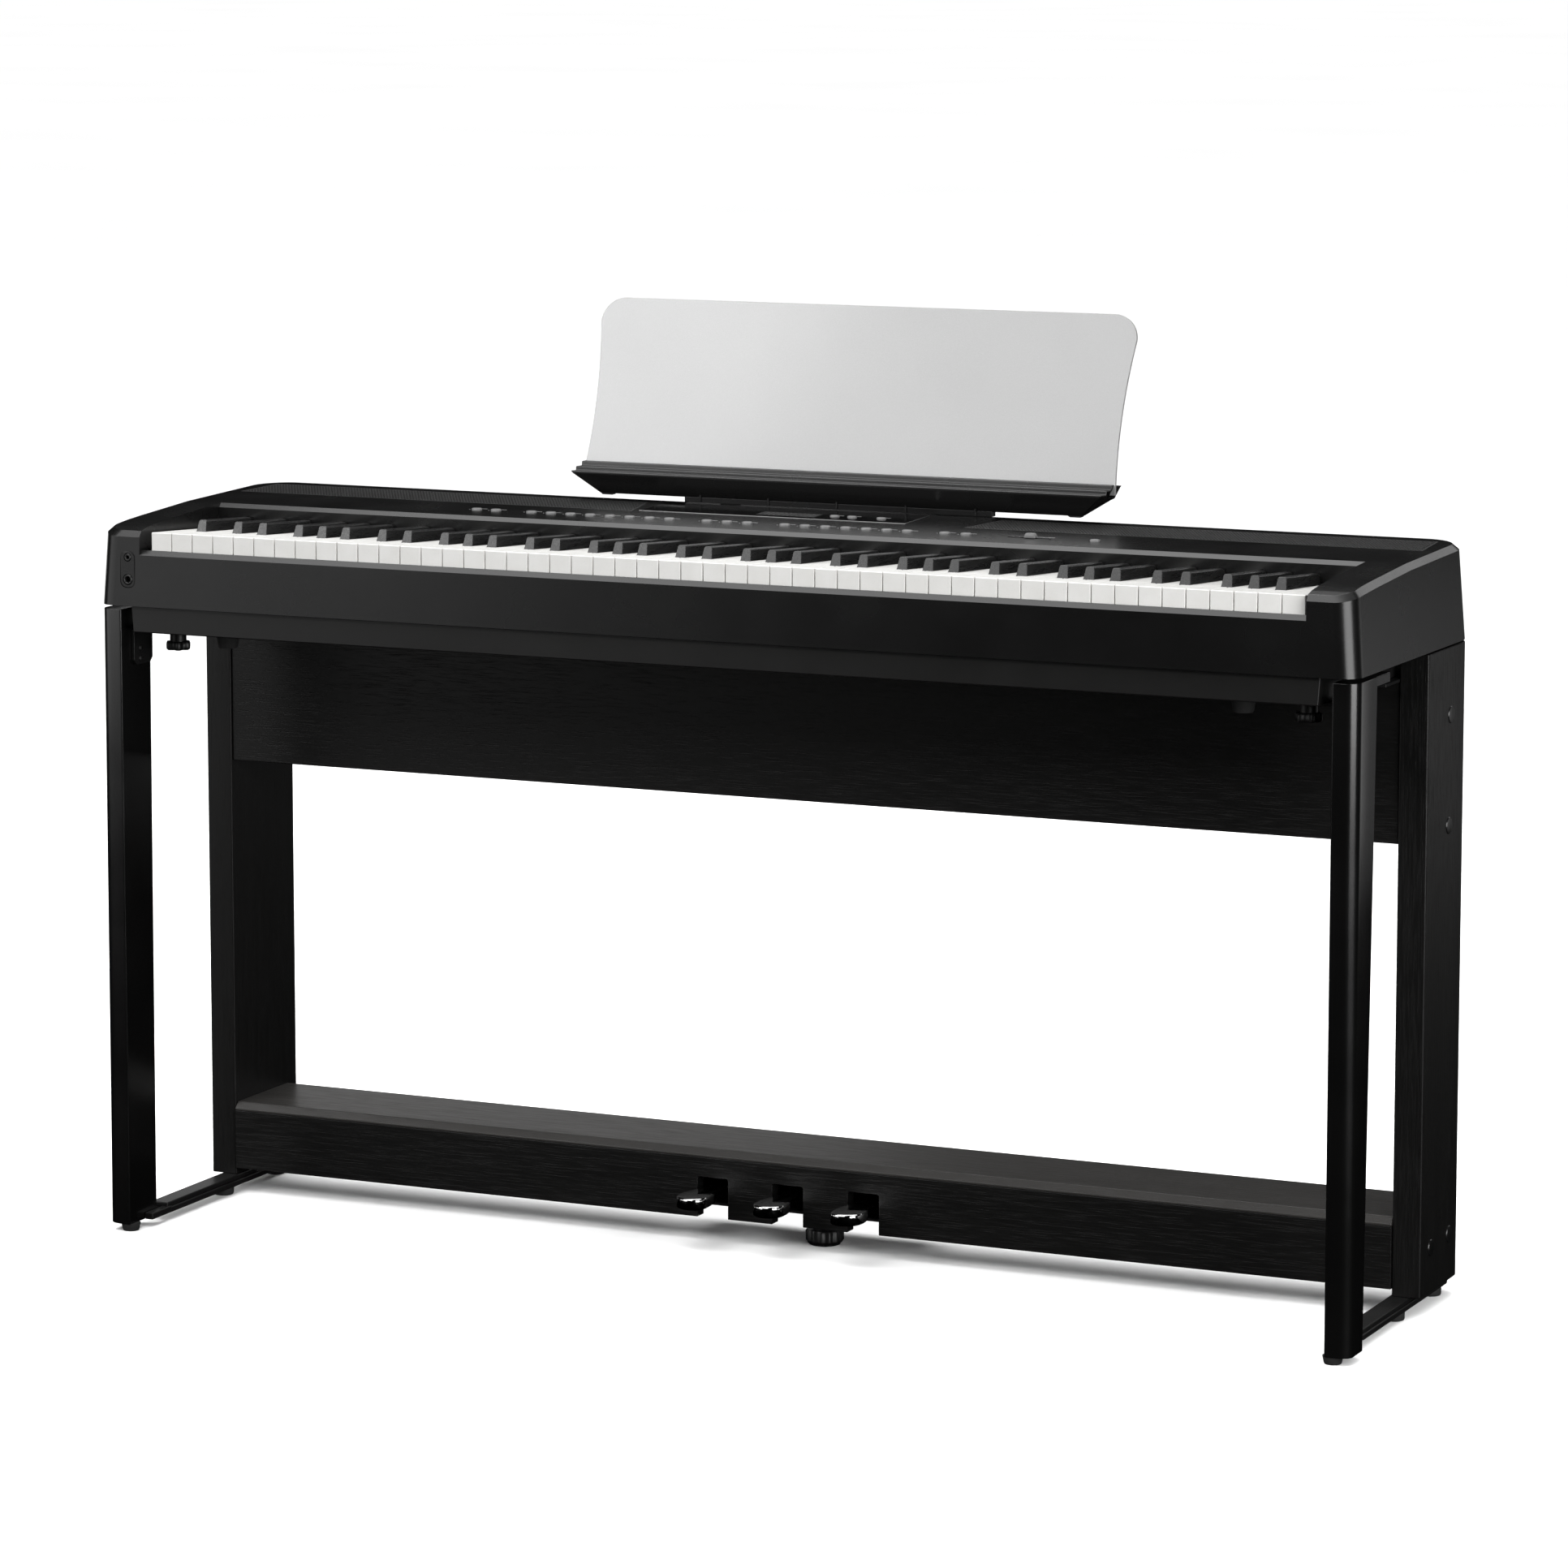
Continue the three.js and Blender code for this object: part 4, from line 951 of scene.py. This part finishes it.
# ---- stand
def front_leg():
    """A leg whose depth tapers to its foot, more along its outer face."""
    inner, outer = LEG_LOW.x, LEG_HIGH.x
    front, rear = LEG_LOW.y, LEG_REAR
    plan = rounded(inner, outer, front, rear, (1.5, 14, 5, 1.5), 10)
    rings = []
    for share in (0, 0.25, 0.5, 0.75, 1):
        z = LEG_LOW.z + share * (LEG_HIGH.z - LEG_LOW.z)
        ring = []
        for x, y in plan:
            narrower = 4 + 15 * (x - inner) / (outer - inner)
            ring.append((x, y - (1 - share) * (y - front) / (rear - front) * narrower, z))
        rings.append(ring)
    return ring_mesh(rings)


def leg_arm():
    return block(LEG_LOW.x, LEG_HIGH.x - 2.2, 50, LEG_HIGH.y, 631, LEG_HIGH.z - 0.1)


def rear_post():
    plan = rounded(POST_LOW.x, POST_HIGH.x, POST_LOW.y, POST_HIGH.y, (1.5, 2, 27, 1.5), 12)
    return prism_z(plan, POST_LOW.z, POST_HIGH.z)


def floor_bar():
    base = rounded(BAR_LOW.x, BAR_HIGH.x, 61, BAR_HIGH.y, (3, 8, 8, 3), 6)
    tongue = block(BAR_LOW.x, LEG_LOW.x - 0.3, BAR_LOW.y, 64, BAR_LOW.z, 15)
    rail = block(BAR_HIGH.x - 21, BAR_HIGH.x - 1, 58, POST_LOW.y + 40, 14, 19)
    return merged(prism_z(base, BAR_LOW.z, 14), tongue, rail)


def bracket(bolt_y, inner, plate_rear, flange):
    top = LOWER_LOW.z - 0.3
    plate = rounded(PLATE_INNER, inner - 0.3, bolt_y - 18, plate_rear, (5, 0, 0, 5), 6)
    front, rear = flange
    upright = [(front, top), (front, 587), (front + 5, 582), (rear - 5, 582), (rear, 587), (rear, top)]
    return merged(prism_z(plate, top - 3, top), prism_x(upright, inner - 3.3, inner - 0.3))


def screw_head(radius, height):
    """A domed head with a round recess, standing on z 0."""
    return lathe([(radius, 0), (radius, height * 0.35), (radius * 0.8, height * 0.8), (radius * 0.42, height),
                  (radius * 0.34, height * 0.45)], segments=24)


def stand_pair(name, shape, material, slot, soften, nodes=None, smooth=32, segments=2):
    for side in SIDES:
        shell = shape() if side == "right" else mirrored(shape())
        make(f"{name}_{side}", shell, material, slot, soften=soften, segments=segments, smooth=smooth,
             stands_for=[f"{node}_{side}" for node in (nodes or [])])


def post_screws():
    places = [(271.6, 577.2), (270, 469.9), (234.1, 63.2), (288.7, 65.2)]
    heads = []
    for y, z in places:
        cap = lathe([(8.4, 0), (8.4, 1.5), (7.8, 2.3), (5.5, 2.6), (2, 2.7)], segments=32)
        heads.append(moved(turned(cap, math.pi / 2, "Y"), 0, y, z))
    return moved(merged(*heads), POST_HIGH.x - 1.4)


def bracket_screws():
    heads = []
    for x, y in ((LEG_LOW.x - 3.3, 28), (POST_LOW.x - 3.3, 243)):
        for z in (598.4, 587.8):
            heads.append(moved(turned(screw_head(3.6, 2.2), -math.pi / 2, "Y"), x, y, z))
    return merged(*heads)


def knob(x, y):
    profile = [(7, 597), (11.5, 597), (13.2, 598.2), (13.5, 600), (13.5, 603.6), (12.6, 605.4), (9, 606)]
    grip = lathe(profile, x, y, 60, lobes=6, depth=3.4)
    neck = lathe([(8.4, 605.8), (8.4, 613.6), (7.6, 614.5)], x, y, 28)
    shank = lathe([(3, 614), (3, 631.5)], x, y, 16)
    return merged(grip, neck, shank)


def stand():
    stand_pair("front_leg_post", front_leg, LEG, "leg_black", 0.8, ["front_leg"], smooth=28, segments=3)
    stand_pair("front_leg_arm", leg_arm, LEG, "leg_black", 1.0)
    stand_pair("rear_post_board", rear_post, WOOD_UP, "wood_black", 0.9, ["rear_post"], smooth=28, segments=3)
    stand_pair("floor_rail", floor_bar, STEEL, "stand_steel", 1.2, ["floor_bar"], segments=3)
    stand_pair("front_angle", lambda: bracket(BOLT_ROWS["front"], LEG_LOW.x, 60, (16, 52)), STEEL,
               "stand_steel", 0.5, ["front_bracket"])
    stand_pair("rear_angle", lambda: bracket(BOLT_ROWS["rear"], POST_LOW.x, 262, (224, 262)), STEEL,
               "stand_steel", 0.5, ["rear_bracket"])
    stand_pair("post_screw_caps", post_screws, CAP, "wood_black", 0)
    stand_pair("bracket_screw_heads", bracket_screws, STEEL, "stand_steel", 0)
    glide = [(6.5, 0), (8, 0.4), (8.6, 1.6), (9.8, 7.4), (9.8, 8.2)]
    stand_pair("glide", lambda: lathe(glide, 649, 7), RUBBER, "foot_rubber", 0, ["leg_glide"])
    foot = [(8.5, 0), (10, 0.5), (10.6, 2), (10.6, 7.2), (9.8, 8.2)]
    x, rows = RAIL_FEET
    stand_pair("rail_foot", lambda: merged(*[lathe(foot, x, y) for y in rows]), RUBBER, "foot_rubber", 0,
               ["rear_foot"])
    for end, y in BOLT_ROWS.items():
        for side, sign in SIDES.items():
            body = f"knob_bolt_{end}_{side}"
            make(f"{body}_grip", knob(sign * BOLT_X, y), KNOB, "knob_black", body, stands_for=[body],
                 smooth=40)
    make("back_panel", block(BACK_LOW.x, BACK_HIGH.x, BACK_LOW.y, BACK_HIGH.y, BACK_LOW.z, BACK_HIGH.z),
         WOOD_ACROSS, "wood_black", soften=0.8, stands_for=["back_board"])
    shelf = [(SHELF_LOW.y, SHELF_LOW.z), (SHELF_HIGH.y, SHELF_LOW.z), (SHELF_HIGH.y, SHELF_HIGH.z),
             (SHELF_LOW.y + BEVEL, SHELF_HIGH.z), (SHELF_LOW.y, SHELF_HIGH.z - BEVEL)]
    # the shelf wears the lighter foil, whose tone is a painted reflection
    make("shelf_board", prism_x(shelf, SHELF_LOW.x, SHELF_HIGH.x), SHELF_FOIL_PAINTED_REFLECTION, "wood_black", soften=0.6,
         stands_for=["pedal_shelf"])


# ---- pedals
def kick_board():
    """The board in front of the pedals, with a notch over each one."""
    half, top, corner = 17, 67.7, 2.5
    outline = [(KICK_LOW.x, KICK_HIGH.z), (KICK_LOW.x, KICK_LOW.z)]
    for x, _, _ in PEDALS.values():
        outline.append((x - half, KICK_LOW.z))
        outline += arc(x - half + corner, top - corner, corner, 180, 90, 5)
        outline += arc(x + half - corner, top - corner, corner, 90, 0, 5)
        outline.append((x + half, KICK_LOW.z))
    outline += [(KICK_HIGH.x, KICK_LOW.z), (KICK_HIGH.x, KICK_HIGH.z)]
    make("kick_panel", prism_y(outline, KICK_LOW.y, KICK_HIGH.y), WOOD_ACROSS, "wood_black", soften=0.5,
         stands_for=["kick_board"])


def bezier(*handles, steps=10):
    """Points along a cubic curve through its two ends, without the first."""
    points = []
    for i in range(1, steps + 1):
        t = i / steps
        weights = ((1 - t) ** 3, 3 * t * (1 - t) ** 2, 3 * t * t * (1 - t), t ** 3)
        points.append(tuple(sum(w * p[k] for w, p in zip(weights, handles)) for k in (0, 1)))
    return points


def pedal(x, left, right):
    """A narrow neck that swells to a rounded, slightly domed tip with a thick polished lip."""
    outline = [(-9, 296), (-9, 205)]
    outline += bezier((-9, 205), (-10, 186), (-11 - left, 180), (-11 - left, 162))
    outline += bezier((-11 - left, 162), (-11 - left, 149), (-9, 143), (0, PEDAL_TIP))
    outline += bezier((0, PEDAL_TIP), (9, 143), (11 + right, 149), (11 + right, 162))
    outline += bezier((11 + right, 162), (11 + right, 180), (10, 186), (9, 205))
    outline.append((9, 296))

    def floor_at(y):
        return 46.2 + max(0, y - 150) * 0.035

    def roof_at(y):
        return 58 + max(0, y - 200) * 0.02

    levels = [(1.6, floor_at, 0), (0.4, floor_at, 0.7), (0, floor_at, 2.2), (0, roof_at, -2.0),
              (0.35, roof_at, -0.8), (1.3, roof_at, -0.15), (2.4, roof_at, 0)]
    rings = []
    for inset, level, lift in levels:
        ring = []
        for px, py in outline:
            reach = max(0.0, 1 - (py - PEDAL_TIP) / 20)
            ring.append((px * (1 - inset / 15), py + inset * reach, level(py) + lift))
        rings.append(ring)
    return moved(ring_mesh(rings), x)


def pedals():
    for body, (x, left, right) in PEDALS.items():
        make(f"{body}_lever", pedal(x, left, right), CHROME, "pedal_chrome", body, stands_for=[body],
             smooth=50)
    rim = [(9, 0), (15, 0.3), (17.4, 1.6), (18.4, 4), (19.4, 5), (19.5, 14.6), (18.6, 16), (12.5, 16.8)]
    foot_low, foot_high = span("adjuster_foot")
    x, y = (foot_low.x + foot_high.x) / 2, (foot_low.y + foot_high.y) / 2
    grip = lathe(rim, x, y, 96, lobes=14, depth=1.5)
    collar_and_stem = merged(lathe([(12.2, 16.5), (12.2, 21.4), (11.6, 22)], x, y),
                             lathe([(5, 21.5), (5, 37.4)], x, y, 20))
    make("adjuster_grip", merged(grip, collar_and_stem), KNOB, "knob_black", "adjuster_foot",
         stands_for=["adjuster_foot"], smooth=40)


# ---- what stays as the frame made it
def keep_frame_nodes():
    kept = {"speaker_right": CLOTH, "speaker_left": CLOTH, "key_frame": STEEL, "main_board": BOARD,
            "pedal_housing": STEEL, "pedal_shaft": STEEL}
    for node, material in kept.items():
        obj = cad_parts[node]
        obj.data.materials.clear()
        obj.data.materials.append(material)


# ---- studio
CAMERA_PLACE = (2.4262, -5.2665, 1.3839)
CAMERA_TURN = 24.736  # degrees to the left of straight back
CAMERA_TILT = 7.668  # degrees down
CAMERA_LENS = 135.4
CAMERA_SHIFT = -0.08


def camera():
    data = bpy.data.cameras.new("camera")
    data.lens = CAMERA_LENS
    data.sensor_width = 36
    data.shift_y = CAMERA_SHIFT
    data.clip_end = 400
    eye = bpy.data.objects.new("camera", data)
    eye.location = CAMERA_PLACE
    eye.rotation_euler = (math.radians(90 - CAMERA_TILT), 0, math.radians(CAMERA_TURN))
    link(eye)
    bpy.context.scene.camera = eye


def softbox(name, place, target, size, radiance):
    """A rectangular soft light; the camera doesn't see it."""
    data = bpy.data.lights.new(name, "AREA")
    data.shape = "RECTANGLE"
    data.size, data.size_y = size
    data.energy = radiance * 4 * size[0] * size[1]
    lamp = bpy.data.objects.new(name, data)
    lamp.location = place
    lamp.rotation_euler = (Vector(target) - Vector(place)).to_track_quat("-Z", "Y").to_euler()
    lamp.visible_camera = False
    link(lamp)


def floor():
    """A pale floor that stays out of the black piano's reflections, and the collection that holds it."""
    bm = bmesh.new()
    reach = 150
    bm.faces.new([bm.verts.new(p) for p in ((-reach, -reach, 0), (reach, -reach, 0), (reach, reach, 0),
                                           (-reach, reach, 0))])
    data = bpy.data.meshes.new("floor")
    bm.to_mesh(data)
    bm.free()
    ground = bpy.data.objects.new("floor", data)
    link(ground)
    m = Nodes("floor_paint")
    tone = m.mix(m.ramp(m.noise(0.6, 2), 0.3, 0.7), grey(0.90), grey(0.93))
    data.materials.append(m.set(Base_Color=tone, Roughness=0.8, Specular_IOR_Level=0.1))
    ground.visible_diffuse = False
    ground.visible_glossy = False
    group = bpy.data.collections.new("floor_only")
    bpy.context.scene.collection.children.link(group)
    group.objects.link(ground)
    return group


def studio():
    group = floor()
    world = bpy.data.worlds.new("studio")
    bpy.context.scene.world = world
    world.use_nodes = True
    background = world.node_tree.nodes["Background"]
    background.inputs["Color"].default_value = (1, 1, 1, 1)
    background.inputs["Strength"].default_value = 1
    world.cycles_visibility.diffuse = False
    world.cycles_visibility.glossy = False
    sun = bpy.data.lights.new("floor_wash", "SUN")
    sun.energy = 3.6
    sun.angle = math.radians(80)
    wash = bpy.data.objects.new("floor_wash", sun)
    link(wash)
    wash.light_linking.receiver_collection = group
    softbox("overhead", (-0.5, 0.1, 3.2), (-0.2, 0, 0.7), (4.4, 3.0), 2.6)
    softbox("front_high", (-0.7, -3.8, 2.9), (0, 0, 0.7), (2.8, 1.4), 2.5)
    softbox("front_left", (-3.6, -3.7, 3.1), (-0.2, 0, 0.8), (2.6, 1.6), 5.2)
    softbox("low_left", (-3.6, -2.6, 0.75), (-0.5, 0, 0.55), (4.2, 1.5), 0.85)
    softbox("right_strip", (3.4, -1.8, 1.25), (0.6, 0, 0.5), (2.6, 2.3), 5)
    softbox("backdrop", (1.0, 2.4, 0.3), (0.4, 0, 0.35), (5, 0.56), 0.09)
    softbox("rim_right", (1.6, 3.6, 2.4), (0.6, 0, 0.7), (1.8, 1.2), 1.1)
    softbox("back_right", (2.1, 2.1, 0.3), (0, 0.3, 0.4), (0.95, 0.56), 0.45)
    softbox("back_left", (-2.1, 2.1, 0.4), (0, 0.3, 0.4), (2.6, 0.7), 0.8)
    settings = bpy.context.scene.view_settings
    settings.view_transform = "Standard"
    settings.look = "None"


upper_case()
lower_case()
jack_panel()
connector_panel()
grilles()
display()
keyboard()
controls()
music_rest()
stand()
kick_board()
pedals()
keep_frame_nodes()
camera()
studio()
